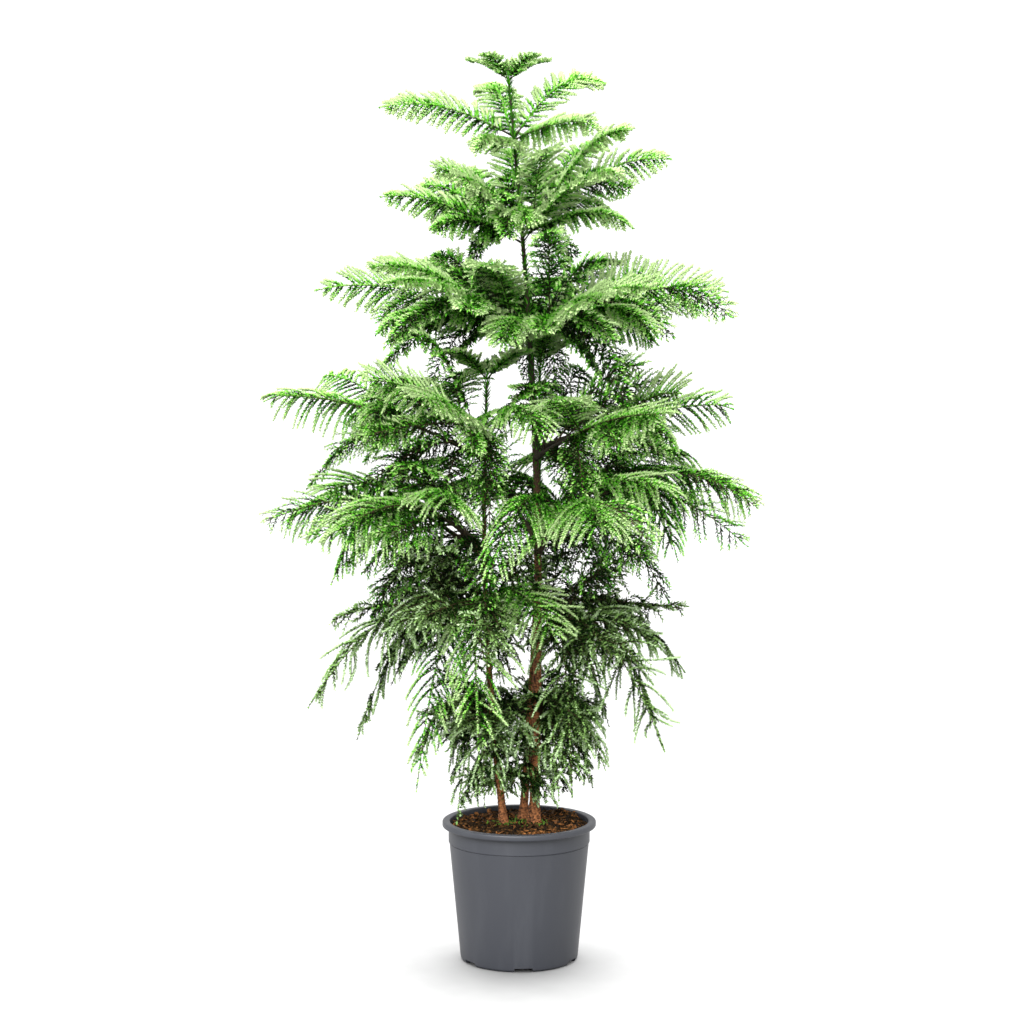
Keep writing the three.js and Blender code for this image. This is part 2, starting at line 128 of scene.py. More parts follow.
def scatter(level: int, index: int, channel: int) -> float:
    """Seeded scatter: the same three whole numbers always give the same value between -1 and 1.

    Args:
        level: The number of the tier.
        index: The number of the mass.
        channel: What the scatter is for.

    Returns:
        The value.
    """
    by_level, by_index, by_channel = SCATTER_STEPS
    wave = math.sin(level * by_level + index * by_index + channel * by_channel) * SCATTER_GAIN
    return 2.0 * (wave - math.floor(wave)) - 1.0


def square_to(along: Array, steep: float) -> tuple[Array, Array]:
    """Finds the directions to the right of others and above them.

    Args:
        along: Directions, each one long.
        steep: How far one may rise before its right is no longer level.

    Returns:
        The directions to the right, and those above.
    """
    is_steep = np.abs(along[..., 2:]) > steep
    right = unit(np.cross(along, np.where(is_steep, ACROSS, UP)))
    return right, np.cross(right, along)


def add_primitive(operator: Callable[..., Any], **settings: Any) -> bpy.types.Object:
    """Adds an object with one of Blender's operators, with nothing else selected.

    Args:
        operator: The operator that adds it.
        **settings: The operator's settings.

    Returns:
        The new object.
    """
    bpy.ops.object.select_all(action="DESELECT")
    operator(**settings)
    return bpy.context.object


def make_active(piece: bpy.types.Object) -> None:
    """Selects one object alone and makes it the active one.

    Args:
        piece: The object.
    """
    bpy.ops.object.select_all(action="DESELECT")
    piece.select_set(True)
    bpy.context.view_layer.objects.active = piece


def edit_all() -> None:
    """Enters edit mode with the whole mesh selected."""
    bpy.ops.object.mode_set(mode="EDIT")
    bpy.ops.mesh.select_all(action="SELECT")


def close_up() -> None:
    """Closes the holes of the mesh in edit mode, turns its faces outwards and leaves edit mode."""
    bpy.ops.mesh.select_all(action="SELECT")
    bpy.ops.mesh.fill_holes(sides=0)
    bpy.ops.mesh.normals_make_consistent(inside=False)
    bpy.ops.object.mode_set(mode="OBJECT")


def apply_place() -> None:
    """Puts the place, turn and scale of the selected object into its mesh."""
    bpy.ops.object.transform_apply(location=True, rotation=True, scale=True)


def apply_modifier(piece: bpy.types.Object, kind: str, **settings: Any) -> None:
    """Adds a modifier to a piece and applies it.

    Args:
        piece: The object to change.
        kind: The modifier's type.
        **settings: Values for the modifier's properties.
    """
    make_active(piece)
    modifier = piece.modifiers.new(kind.lower(), kind)
    for name, value in settings.items():
        setattr(modifier, name, value)
    bpy.ops.object.modifier_apply(modifier=modifier.name)


def vertex_places(piece: bpy.types.Object) -> Array:
    """Reads the places of a mesh's vertices, in Blender's metres.

    Args:
        piece: The object.

    Returns:
        The places, one row each.
    """
    places = np.empty(len(piece.data.vertices) * 3, np.float32)
    piece.data.vertices.foreach_get("co", places)
    return places.reshape(-1, 3).astype(float)


def move_vertices(piece: bpy.types.Object, places: Array) -> None:
    """Moves a mesh's vertices to places in millimetres."""
    piece.data.vertices.foreach_set("co", (places * MM).astype(np.float32).ravel())
    piece.data.update()


def keep_relief(piece: bpy.types.Object, relief: Array) -> None:
    """Keeps the relief at each vertex, for the bark's finish to read."""
    kept = piece.data.attributes.new(RELIEF, "FLOAT", "POINT")
    kept.data.foreach_set("value", relief.astype(np.float32))


def settle(piece: bpy.types.Object, name: str, material: bpy.types.Material) -> bpy.types.Object:
    """Names a piece, gives it its material and makes it ride on the plant's body.

    Args:
        piece: The finished object.
        name: The piece's name.
        material: The finish that it is dressed in.

    Returns:
        The same object.
    """
    piece.name = name
    piece.data.name = name
    piece.data.materials.clear()
    piece.data.materials.append(material)
    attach(piece, BODY)
    LOG.info("%s: %d faces", name, len(piece.data.polygons))
    return piece


def object_from_arrays(name: str, points: Array, faces: Sequence[Array]) -> bpy.types.Object:
    """Makes one joined mesh of many small things.

    Args:
        name: The object's name.
        points: Vertex places in millimetres, one row each.
        faces: Arrays of vertex numbers, one row for each face, with faces of one size in each array.

    Returns:
        The new object, at the origin.
    """
    mesh = bpy.data.meshes.new(name)
    mesh.vertices.add(len(points))
    mesh.vertices.foreach_set("co", (points * MM).astype(np.float32).ravel())
    corners = np.concatenate([face.ravel() for face in faces]).astype(np.int32)
    sizes = np.concatenate([np.full(len(face), face.shape[1], np.int32) for face in faces])
    mesh.loops.add(len(corners))
    mesh.loops.foreach_set("vertex_index", corners)
    mesh.polygons.add(len(sizes))
    mesh.polygons.foreach_set("loop_start", (np.cumsum(sizes) - sizes).astype(np.int32))
    mesh.update(calc_edges=True)
    mesh.validate()
    piece = bpy.data.objects.new(name, mesh)
    bpy.context.scene.collection.objects.link(piece)
    return piece


def tubes(centres: Array, radii: Array, sides: int, steep: float = 0.9) -> tuple[Array, list[Array]]:
    """Sweeps closed tubes along many centre lines at once.

    Args:
        centres: Ring centres, by tube, ring and axis.
        radii: Radius of each ring by tube and ring, or of each corner by tube, ring and side.
        sides: How many sides a tube has.
        steep: How far a centre line may rise before its rings start from another side.

    Returns:
        The corner places, and the arrays of side faces and end faces.
    """
    count, rings = centres.shape[:2]
    right, above = square_to(unit(np.gradient(centres, axis=1)), steep)
    angle = np.arange(sides) * math.tau / sides
    ring = right[:, :, None] * np.cos(angle)[:, None] + above[:, :, None] * np.sin(angle)[:, None]
    reach = radii[..., None] if radii.ndim == 2 else radii
    points = centres[:, :, None] + ring * reach[..., None]
    number = np.arange(count * rings * sides).reshape(count, rings, sides)
    ahead = np.roll(number, -1, axis=2)
    walls = np.stack([number[:, :-1], number[:, 1:], ahead[:, 1:], ahead[:, :-1]], axis=-1).reshape(-1, 4)
    ends = np.concatenate([number[:, 0], number[:, -1, ::-1]])
    return points.reshape(-1, 3), [walls, ends]


class Tint(Enum):
    """The greens of the needles, dealt out spray by spray. SHADE, a near-black green, is painted shade."""

    YOUNG = "young"
    FRESH = "fresh"
    LEAF = "leaf"
    DEEP = "deep"
    SHADE = "shade"
    PALE = "pale"
    OLD = "old"
    DUSK = "dusk"


class Zone(Enum):
    """The two halves of the crown, named for the finish that they take from the record."""

    UPPER = "foliage_upper"
    LOWER = "foliage_lower"


class Side(Enum):
    """The fronds of one mass: the main one, and the two that fork from it."""

    MAIN = 0
    UNDER = 1
    OVER = 2


class Channel(IntEnum):
    """What the seeded scatter of a mass is for. Each side frond has its own channel after the first."""

    AZIMUTH = 1
    HEIGHT = 2
    REACH = 3
    RISE = 4
    DROOP = 5
    LIFT = 6
    BOW = 7
    ROLL = 8
    SIDE_BOW = 9
    SIDE_ROLL = 11
    TONE = 13


# Finishes

@dataclass(frozen=True)
class Finish:
    """A finish: its material's name, its roughness, its IOR and how much of the gloss it keeps."""

    name: str
    roughness: float
    ior: float = 1.5
    gloss: float = 0.5

    def begin(self) -> tuple[bpy.types.Material, bpy.types.NodeTree, bpy.types.Node]:
        """Starts the material.

        Returns:
            The material, its node tree and its shader.
        """
        material = bpy.data.materials.new(self.name)
        material.use_nodes = True
        tree = material.node_tree
        shader = tree.nodes["Principled BSDF"]
        shader.inputs["Roughness"].default_value = self.roughness
        shader.inputs["IOR"].default_value = self.ior
        shader.inputs["Specular IOR Level"].default_value = self.gloss
        return material, tree, shader


@dataclass(frozen=True)
class NeedleFinish(Finish):
    """Waxy needles: one plain green, with the soft gloss that the wax gives."""

    gloss: float = 0.05
    colour: str = "#4f9a45"

    def material(self) -> bpy.types.Material:
        """The needle material, one base colour all over.

        Returns:
            The material.
        """
        material, _, shader = self.begin()
        shader.inputs["Base Color"].default_value = linear(self.colour)
        return material


@dataclass(frozen=True)
class MottledFinish(Finish):
    """A rough natural surface: two colours in soft patches, and a grain that catches the light."""

    dark: str = "#2a1a10"
    light: str = "#5a3c26"
    patch: float = 6.0
    patch_edges: tuple[float, float] = (0.35, 0.65)
    patch_detail: float = 4.0
    grain: float = 1.2
    grain_detail: float = 3.0
    depth: float = 0.4

    def material(self) -> bpy.types.Material:
        """The material, with its patches and grain at their real sizes.

        Returns:
            The material.
        """
        material, tree, shader = self.begin()
        place = add_node(tree, "ShaderNodeTexCoord").outputs["Object"]
        patches = add_node(
            tree, "ShaderNodeTexNoise",
            {"Vector": place, "Scale": 1.0 / (self.patch * MM), "Detail": self.patch_detail},
        )
        first, last = self.patch_edges
        spread = add_node(
            tree, "ShaderNodeMapRange",
            {"Value": patches.outputs["Fac"], "From Min": first, "From Max": last},
        )
        colours = add_node(
            tree, "ShaderNodeMix",
            {0: spread.outputs["Result"], MIX_A: linear(self.dark), MIX_B: linear(self.light)},
            data_type="RGBA",
        )
        grain = add_node(
            tree, "ShaderNodeTexNoise",
            {"Vector": place, "Scale": 1.0 / (self.grain * MM), "Detail": self.grain_detail},
        )
        bump = add_node(
            tree, "ShaderNodeBump", {"Height": grain.outputs["Fac"], "Distance": self.depth * MM}
        )
        tree.links.new(colours.outputs[MIX_RESULT], shader.inputs["Base Color"])
        tree.links.new(bump.outputs["Normal"], shader.inputs["Normal"])
        return material


@dataclass(frozen=True)
class BarkFinish(Finish):
    """Scaly bark: red-brown scales with dark seams low down, turning dull green where the stem is young."""

    seam: str = "#24150c"
    scale: str = "#a86c42"
    worn: str = "#6b452b"
    young: str = "#1e1c10"
    green_from: float = 300.0
    green_to: float = 800.0
    scale_size: float = 3.6
    flattening: float = 1.5
    hollow_edges: tuple[float, float] = (0.5, -0.15)
    depth: float = 0.7

    def material(self) -> bpy.types.Material:
        """The bark material: flattened scales that differ in brown, darker in the hollows of the mesh.

        Returns:
            The material.
        """
        material, tree, shader = self.begin()
        place = add_node(tree, "ShaderNodeTexCoord").outputs["Object"]
        height = add_node(tree, "ShaderNodeSeparateXYZ", {"Vector": place}).outputs["Z"]
        flattened = add_node(
            tree, "ShaderNodeMapping", {"Vector": place, "Scale": (1.0, 1.0, self.flattening)}
        )
        scales = add_node(
            tree, "ShaderNodeTexVoronoi",
            {"Vector": flattened.outputs["Vector"], "Scale": 1.0 / (self.scale_size * MM)},
        )
        patch = add_node(tree, "ShaderNodeSeparateColor", {"Color": scales.outputs["Color"]})
        browns = add_node(
            tree, "ShaderNodeMix",
            {0: patch.outputs["Red"], MIX_A: linear(self.worn), MIX_B: linear(self.scale)},
            data_type="RGBA",
        )
        age = add_node(
            tree, "ShaderNodeMapRange",
            {"Value": height, "From Min": self.green_from * MM, "From Max": self.green_to * MM},
        )
        ridge = add_node(
            tree, "ShaderNodeMix",
            {0: age.outputs["Result"], MIX_A: browns.outputs[MIX_RESULT], MIX_B: linear(self.young)},
            data_type="RGBA",
        )
        relief = add_node(tree, "ShaderNodeAttribute", attribute_name=RELIEF).outputs["Fac"]
        hollow = add_node(
            tree, "ShaderNodeMath", {0: scales.outputs["Distance"], 1: relief}, operation="SUBTRACT"
        )
        darkest, brightest = self.hollow_edges
        bright = add_node(
            tree, "ShaderNodeMapRange",
            {"Value": hollow.outputs["Value"], "From Min": darkest, "From Max": brightest},
        )
        colours = add_node(
            tree, "ShaderNodeMix",
            {0: bright.outputs["Result"], MIX_A: linear(self.seam), MIX_B: ridge.outputs[MIX_RESULT]},
            data_type="RGBA",
        )
        bump = add_node(
            tree, "ShaderNodeBump", {"Height": bright.outputs["Result"], "Distance": self.depth * MM}
        )
        tree.links.new(colours.outputs[MIX_RESULT], shader.inputs["Base Color"])
        tree.links.new(bump.outputs["Normal"], shader.inputs["Normal"])
        return material


@dataclass(frozen=True)
class MouldedPlastic(Finish):
    """Injection-moulded polypropylene: an even grey with a satin grain, and dust and water marks."""

    colour: str = "#2b2d33"
    dusty: str = "#3d3f44"
    grain: float = 0.9
    grain_detail: float = 2.0
    grain_depth: float = 0.15
    grain_strength: float = 0.35
    streak: float = 26.0
    streak_detail: float = 6.0
    streak_flattening: float = 0.18
    dust_edges: tuple[float, float] = (0.5, 0.85)
    most_dust: float = 0.35
    polish: float = 0.08
    dulling: float = 0.12

    def material(self) -> bpy.types.Material:
        """The pot's material. The mould's grain is drawn coarser than life, so that it shows.

        Returns:
            The material.
        """
        material, tree, shader = self.begin()
        place = add_node(tree, "ShaderNodeTexCoord").outputs["Object"]
        drawn_out = add_node(
            tree, "ShaderNodeMapping", {"Vector": place, "Scale": (1.0, 1.0, self.streak_flattening)}
        )
        streaks = add_node(
            tree, "ShaderNodeTexNoise",
            {
                "Vector": drawn_out.outputs["Vector"], "Scale": 1.0 / (self.streak * MM),
                "Detail": self.streak_detail,
            },
        )
        first, last = self.dust_edges
        dust = add_node(
            tree, "ShaderNodeMapRange",
            {"Value": streaks.outputs["Fac"], "From Min": first, "From Max": last, "To Max": self.most_dust},
        )
        colours = add_node(
            tree, "ShaderNodeMix",
            {0: dust.outputs["Result"], MIX_A: linear(self.colour), MIX_B: linear(self.dusty)},
            data_type="RGBA",
        )
        smoothest, dullest = self.roughness - self.polish, self.roughness + self.dulling
        dulled = add_node(
            tree, "ShaderNodeMapRange",
            {"Value": streaks.outputs["Fac"], "To Min": smoothest, "To Max": dullest},
        )
        grain = add_node(
            tree, "ShaderNodeTexNoise",
            {"Vector": place, "Scale": 1.0 / (self.grain * MM), "Detail": self.grain_detail},
        )
        bump = add_node(
            tree, "ShaderNodeBump",
            {
                "Height": grain.outputs["Fac"], "Strength": self.grain_strength,
                "Distance": self.grain_depth * MM,
            },
        )
        tree.links.new(colours.outputs[MIX_RESULT], shader.inputs["Base Color"])
        tree.links.new(dulled.outputs["Result"], shader.inputs["Roughness"])
        tree.links.new(bump.outputs["Normal"], shader.inputs["Normal"])
        return material


# Wax gives the needles a soft gloss. Their tints follow their age, and carry painted shade and painted
# light too: the darkest stand for the shade inside the crown, the paler ones partly for needles facing the
# lamps.
NEEDLES = {
    Tint.YOUNG: NeedleFinish("Young needles", 0.5, colour="#90a971"),
    Tint.FRESH: NeedleFinish("Fresh needles", 0.48, colour="#7cac50"),
    Tint.LEAF: NeedleFinish("Grown needles", 0.46, colour="#4a8d22"),
    Tint.DEEP: NeedleFinish("Deep green needles", 0.46, colour="#1d5005"),
    Tint.SHADE: NeedleFinish("Shaded needles", 0.5, colour="#071d02"),
    Tint.PALE: NeedleFinish("Pale bloom on old needles", 0.55, colour="#96ae80"),
    Tint.OLD: NeedleFinish("Old grey-green needles", 0.55, colour="#648346"),
    Tint.DUSK: NeedleFinish("Dull needles of the lowest fronds", 0.55, colour="#283f14"),
}
# Grown bark is dry and flakes, so it is dull. On the boughs it is younger, darker and less red.
STEM_BARK = BarkFinish("Norfolk pine bark", 0.8, gloss=0.2)
BOUGH_BARK = BarkFinish(
    "Young norfolk pine bark", 0.75, gloss=0.2, scale="#5a4a2b", worn="#3b301c", seam="#1a140b"
)
# Ribs and twigs are seen between the needles, as thin dark lines: their own brown and green, darkened
# to near black as painted shade inside the fronds.
GREEN_RIBS = MottledFinish("Dark frond ribs", 0.65, gloss=0.15, dark="#120f07", light="#2b2611", grain=0.8)
BROWN_RIBS = MottledFinish("Brown frond ribs", 0.7, gloss=0.15, dark="#181109", light="#382c19", grain=0.8)
# A satin mould leaves a wide, soft highlight.
POT_PLASTIC = MouldedPlastic("Grey polypropylene", 0.48)
# Moist soil and split bark take up the light: nearly black hollows, and chips with paler broken sides.
POTTING_SOIL = MottledFinish(
    "Potting soil", 0.95, gloss=0.08, dark="#0c0804", light="#24190b", patch=5.0, depth=0.9
)
CHIP_FINISHES = {
    "dark": MottledFinish("Dark bark chips", 0.9, gloss=0.1, dark="#110b05", light="#2b1e0e", patch=4.0),
    "brown": MottledFinish("Brown bark chips", 0.88, gloss=0.1, dark="#2e1e0d", light="#53381b", patch=4.0),
    "red": MottledFinish("Red bark chips", 0.85, gloss=0.1, dark="#573419", light="#875a31", patch=4.0),
}
# Living moss is matt and soft, with yellower tips over dark green.
MOSS = MottledFinish("Moss", 0.9, gloss=0.15, dark="#2a4413", light="#587a28", patch=3.0)
# Matt paper, which the lights turn white.
PALE_FLOOR = MottledFinish("Pale studio floor", 0.8, dark="#b8b8b8", light="#bcbcbc", patch=60.0, depth=0.01)


# Stems

@dataclass(frozen=True)
class StemRule:
    """What the stems share: how many rings give their curve, and how the foot of each one flares."""

    foot: float = 213.3
    steps: int = 10
    crowding: float = 1.5
    flare: float = 0.35
    flare_height: float = 26.0
    top_room: float = 40.0


@dataclass(frozen=True)
class Stem:
    """One stem of the clump: its foot on the soil, its lean and bow, and its taper to the tip."""

    name: str
    foot: tuple[float, float]
    lean: tuple[float, float]
    bow: tuple[float, float]
    tip: float
    radius: float
    tip_radius: float
    needles_from: float
    rule: StemRule = StemRule()

    def at(self, height: Any) -> tuple[Any, Any, Any]:
        """Where the stem is at a height, straight from one ring of its curve to the next.

        Args:
            height: One height, or an array of them.

        Returns:
            Its centre's x and y, and its radius.
        """
        share = (np.arange(self.rule.steps + 1) / self.rule.steps) ** self.rule.crowding
        heights = blend(self.rule.foot, self.tip, share)
        bulge = np.sin(math.pi * share)
        widening = np.maximum(0.0, 1.0 - (heights - self.rule.foot) / self.rule.flare_height) ** 2
        radii = blend(self.radius, self.tip_radius, share) * (1.0 + self.rule.flare * widening)
        x = self.foot[0] + self.lean[0] * share + self.bow[0] * bulge
        y = self.foot[1] + self.lean[1] * share + self.bow[1] * bulge
        x_here, y_here, radius_here = (np.interp(height, heights, values) for values in (x, y, radii))
        return x_here, y_here, radius_here

    def towards(self, azimuth: float, height: float) -> float:
        """How far the stem stands towards an azimuth at a height."""
        x, y, _ = self.at(height)
        return x * math.cos(azimuth) + y * math.sin(azimuth)


@dataclass
class StemSkin:
    """The bark of a stem: rows of leaf cushions that wind round it, and lobes where its foot flares."""

    stem: Stem
    sides: int = 26
    ring_step: float = 2.1
    cushion: float = 8.5
    cushion_depth: float = 0.05
    rows: tuple[int, int] = (5, 3)
    stray: tuple[float, float] = (1.3, 0.9)
    stray_length: tuple[float, float] = (13.0, 5.7)
    fissure: float = 0.3
    fissure_waver: float = 1.7
    fissure_length: tuple[float, float] = (23.0, 31.0)
    lobes: int = 4
    lobe_turn: float = 1.0
    lobe_depth: float = 0.16
    lobe_height: float = 22.0
    seam_gap: float = 0.01
    smooth_below: float = 60.0

    def relief(self, angle: Array, height: Array) -> Array:
        """How far the bark stands out, from 0 in a seam to 1 on a cushion.

        Args:
            angle: Angles round the stem.
            height: Heights above the foot.

        Returns:
            The relief at each of them.
        """
        turn = math.tau * height / self.cushion
        slow = self.stray[0] * np.sin(height / self.stray_length[0] + 2.0 * angle)
        quick = self.stray[1] * np.sin(height / self.stray_length[1] - 3.0 * angle)
        stray = slow + quick
        weave = (
            np.cos(self.rows[0] * angle + turn + stray)
            * np.cos(self.rows[1] * angle - 0.5 * turn - stray)
        )
        waver = self.fissure_waver * np.sin(height / self.fissure_length[0])
        cracks = self.fissure * np.sin(2.0 * angle + waver) * np.sin(height / self.fissure_length[1] + angle)
        return np.clip(0.5 + 0.5 * weave + cracks, 0.0, 1.0)

    def build(self) -> bpy.types.Object:
        """Rolls a sheet round the stem's curve and closes it into one solid.

        Returns:
            The finished stem.
        """
        stem = self.stem
        foot = stem.rule.foot
        rings = int((stem.tip - foot) / self.ring_step)
        piece = add_primitive(
            bpy.ops.mesh.primitive_grid_add, x_subdivisions=self.sides, y_subdivisions=rings, size=1.0
        )
        sheet = vertex_places(piece)
        angle = (sheet[:, 0] + 0.5) * math.tau
        height = (sheet[:, 1] + 0.5) * (stem.tip - foot)
        x, y, radius = stem.at(height + foot)
        relief = self.relief(angle, height)
        lobes = np.cos(self.lobes * angle + self.lobe_turn) * np.exp(-height / self.lobe_height)
        reach = radius * (1.0 + self.cushion_depth * (2.0 * relief - 1.0) + self.lobe_depth * lobes)
        move_vertices(
            piece, np.stack([x + reach * np.cos(angle), y + reach * np.sin(angle), height + foot], axis=1)
        )
        keep_relief(piece, relief)
        make_active(piece)
        edit_all()
        bpy.ops.mesh.remove_doubles(threshold=self.seam_gap * MM)
        close_up()
        bpy.ops.object.shade_smooth_by_angle(angle=math.radians(self.smooth_below))
        return piece


# The crown

@dataclass(frozen=True)
class Spine:
    """The curve that a rib follows from its base to its tip."""

    LENGTH_STEPS: ClassVar[int] = 24
    SLOPE_STEP: ClassVar[float] = 0.01

    base: Array
    tip: Array
    rise: float
    crest: float
    droop: float
    bow: float

    @property
    def plan(self) -> Array:
        """The level run from base to tip."""
        return (self.tip - self.base) * (1.0, 1.0, 0.0)

    @property
    def length(self) -> float:
        """The rib's length, measured along its curve."""
        places = self.at(np.linspace(0.0, 1.0, self.LENGTH_STEPS))
        return float(np.linalg.norm(np.diff(places, axis=0), axis=1).sum())

    def at(self, share: Array) -> Array:
        """Places along the curve.

        Args:
            share: Shares of its length.

        Returns:
            One place for each share.
        """
        plan = self.plan
        aside = np.array([plan[1], -plan[0], 0.0])
        places = self.base + share[:, None] * plan + (self.bow * np.sin(math.pi * share))[:, None] * aside
        climb = self.rise * np.sin(0.5 * math.pi * np.minimum(share / self.crest, 1.0))
        past = np.maximum(0.0, share - self.crest) / (1.0 - self.crest) if self.crest < 1.0 else 0.0 * share
        places[:, 2] = self.base[2] + climb - self.droop * past ** 2
        return places

    def frames(self, share: Array, roll: float) -> tuple[Array, Array]:
        """The directions along the curve and to its right, rolled about it.

        Args:
            share: Shares of its length.
            roll: The roll in radians.

        Returns:
            The two directions at each share.
        """
        along = unit(self.at(share + self.SLOPE_STEP) - self.at(share - self.SLOPE_STEP))
        right = unit(np.cross(along, UP))
        return along, right * math.cos(roll) + np.cross(right, along) * math.sin(roll)


@dataclass(frozen=True)
class Blade:
    """The length and width of a needle, and its angle off the twig in degrees."""

    length: float
    width: float
    spread: float


@dataclass(frozen=True)
class Habit:
    """How the finer twigs of a tier grow.

    Spacing parts the branchlets on a rib. Gaps is the share of them that are missing, and taper how blunt
    the frond's end is. Blade is the needles' size, and density their number for each millimetre. Tone runs
    from 0, shaded, to 1, fresh, and the ladder holds the tints that it climbs: the shaded end is painted
    shade, and the fresh end partly painted light. Fill is how many of the finer fronds grow, and wild how
    far the branchlets stray from an even comb.
    """

    spacing: float
    gaps: float
    taper: float
    blade: Blade
    density: float
    tone: float
    ladder: tuple[Tint, ...]
    fill: float = 0.0
    wild: float = 0.0


@dataclass(frozen=True)
class Tier:
    """One tier of fronds.

    Left, right and depth are how far the tips stand from the pot's axis. A frond climbs by rise up to its
    crest, a share of its length, and then falls by droop. Tilt and back are how much more the tier rises to
    the right and to the back. Front is how much further a frond falls that faces the viewer, and sag how
    much further its lower side frond falls. Face is how far a frond at the side is rolled to face the
    viewer, and hand is the way the side fronds turn from the main one.
    """

    level: int
    height: float
    count: int
    turn: float
    bough: bool
    forks: tuple[Side, ...]
    hand: int
    spray: float
    lift: float
    left: float
    right: float
    depth: float
    rise: float
    tilt: float
    back: float
    crest: float
    droop: float
    front: float
    sag: float
    face: float
    habit: Habit

    @property
    def zone(self) -> Zone:
        """The half of the crown that the tier belongs to."""
        return Zone.UPPER if self.height > UPPER_FROM else Zone.LOWER

    def tip_at(self, azimuth: float, share: float) -> Array:
        """Where a frond's tip stands, level with the origin.

        Args:
            azimuth: The way it points, in radians.
            share: Its share of the tier's reach.

        Returns:
            The place.
        """
        sideways = math.cos(azimuth)
        side = self.right if sideways > 0.0 else self.left
        reach = self.depth + (side - self.depth) * sideways ** 2
        return heading(azimuth) * reach * share


@dataclass(frozen=True)
class Frond:
    """One frond: its rib's curve and size, and how its branchlets stand on it."""

    node: str
    zone: Zone
    spine: Spine
    start: float
    bare_end: float
    rib_radius: float
    spray: float
    lift: float
    roll: float
    habit: Habit
    tone: float
    seed: tuple[int, int, int]


@dataclass(frozen=True)
class Fork:
    """How a side frond differs from its main frond. Reach, rise, crest, droop and sag are shares of its."""

    fork: float
    turn: float
    reach: float
    rise: float
    from_fork: bool
    crest: float
    droop: float
    sag: float
    lift: float
    tone: float


@dataclass(frozen=True)
class Shoot:
    """A finer frond on a limb: where it leaves it, its turn, its length and climb by reach, and its tone."""

    share: float
    turn: float
    length: float
    climb: float
    tone: float


@dataclass(frozen=True)
class ShootRule:
    """What the finer fronds share. Lift, spray, density and needle are shares of the tier's."""

    seed: int = 77
    first_frond: int = 10
    stray: float = 0.18
    climbing_crest: float = 0.9
    hanging_crest: float = 0.15
    bare_end: float = 0.15
    rib_radius: float = 1.4
    spray: float = 0.58
    lift: float = 0.6
    density: float = 0.5
    needle: float = 1.36

    def habit(self, habit: Habit) -> Habit:
        """A tier's habit with fewer, longer needles."""
        blade = replace(habit.blade, length=habit.blade.length * self.needle)
        return replace(habit, density=habit.density * self.density, blade=blade)


@dataclass(frozen=True)
class LowShoots:
    """The short fronds that hang from the stems below the lowest tier. A pair is the least and the most.

    They take darker tints than their tier: painted shade under the crown.
    """

    count: int = 21
    seed: int = 55
    frond_seed: int = 60
    above_foot: float = 50.0
    below_tier: float = 20.0
    turn_stray: float = 0.3
    reach: tuple[float, float] = (55.0, 105.0)
    droop: tuple[float, float] = (25.0, 70.0)
    clearance: float = 25.0
    rise: float = 12.0
    crest: float = 0.45
    bow: float = 0.1
    lift: float = 0.5
    darker: float = 0.12
    tone_stray: float = 0.2


@dataclass(frozen=True)
class Tuft:
    """The ring of small fronds at a stem's tip."""

    count: int
    turn: float
    length: float
    rise: float


@dataclass(frozen=True)
class Branchlets:
    """The side twigs of a frond, each a curve through a root, a bend and a tip."""

    root: Array
    bend: Array
    tip: Array
    run: Array

    @property
    def length(self) -> Array:
        """The straight length of each branchlet."""
        return np.linalg.norm(self.tip - self.root, axis=1)

    def at(self, which: Array, share: Array) -> tuple[Array, Array]:
        """Places and directions along the branchlets.

        Args:
            which: The branchlet of each place.
            share: The share of its length.

        Returns:
            The places, and the directions there.
        """
        root, bend, tip = self.root[which], self.bend[which], self.tip[which]
        near = blend(root, bend, share[:, None])
        far = blend(bend, tip, share[:, None])
        return blend(near, far, share[:, None]), unit(far - near)


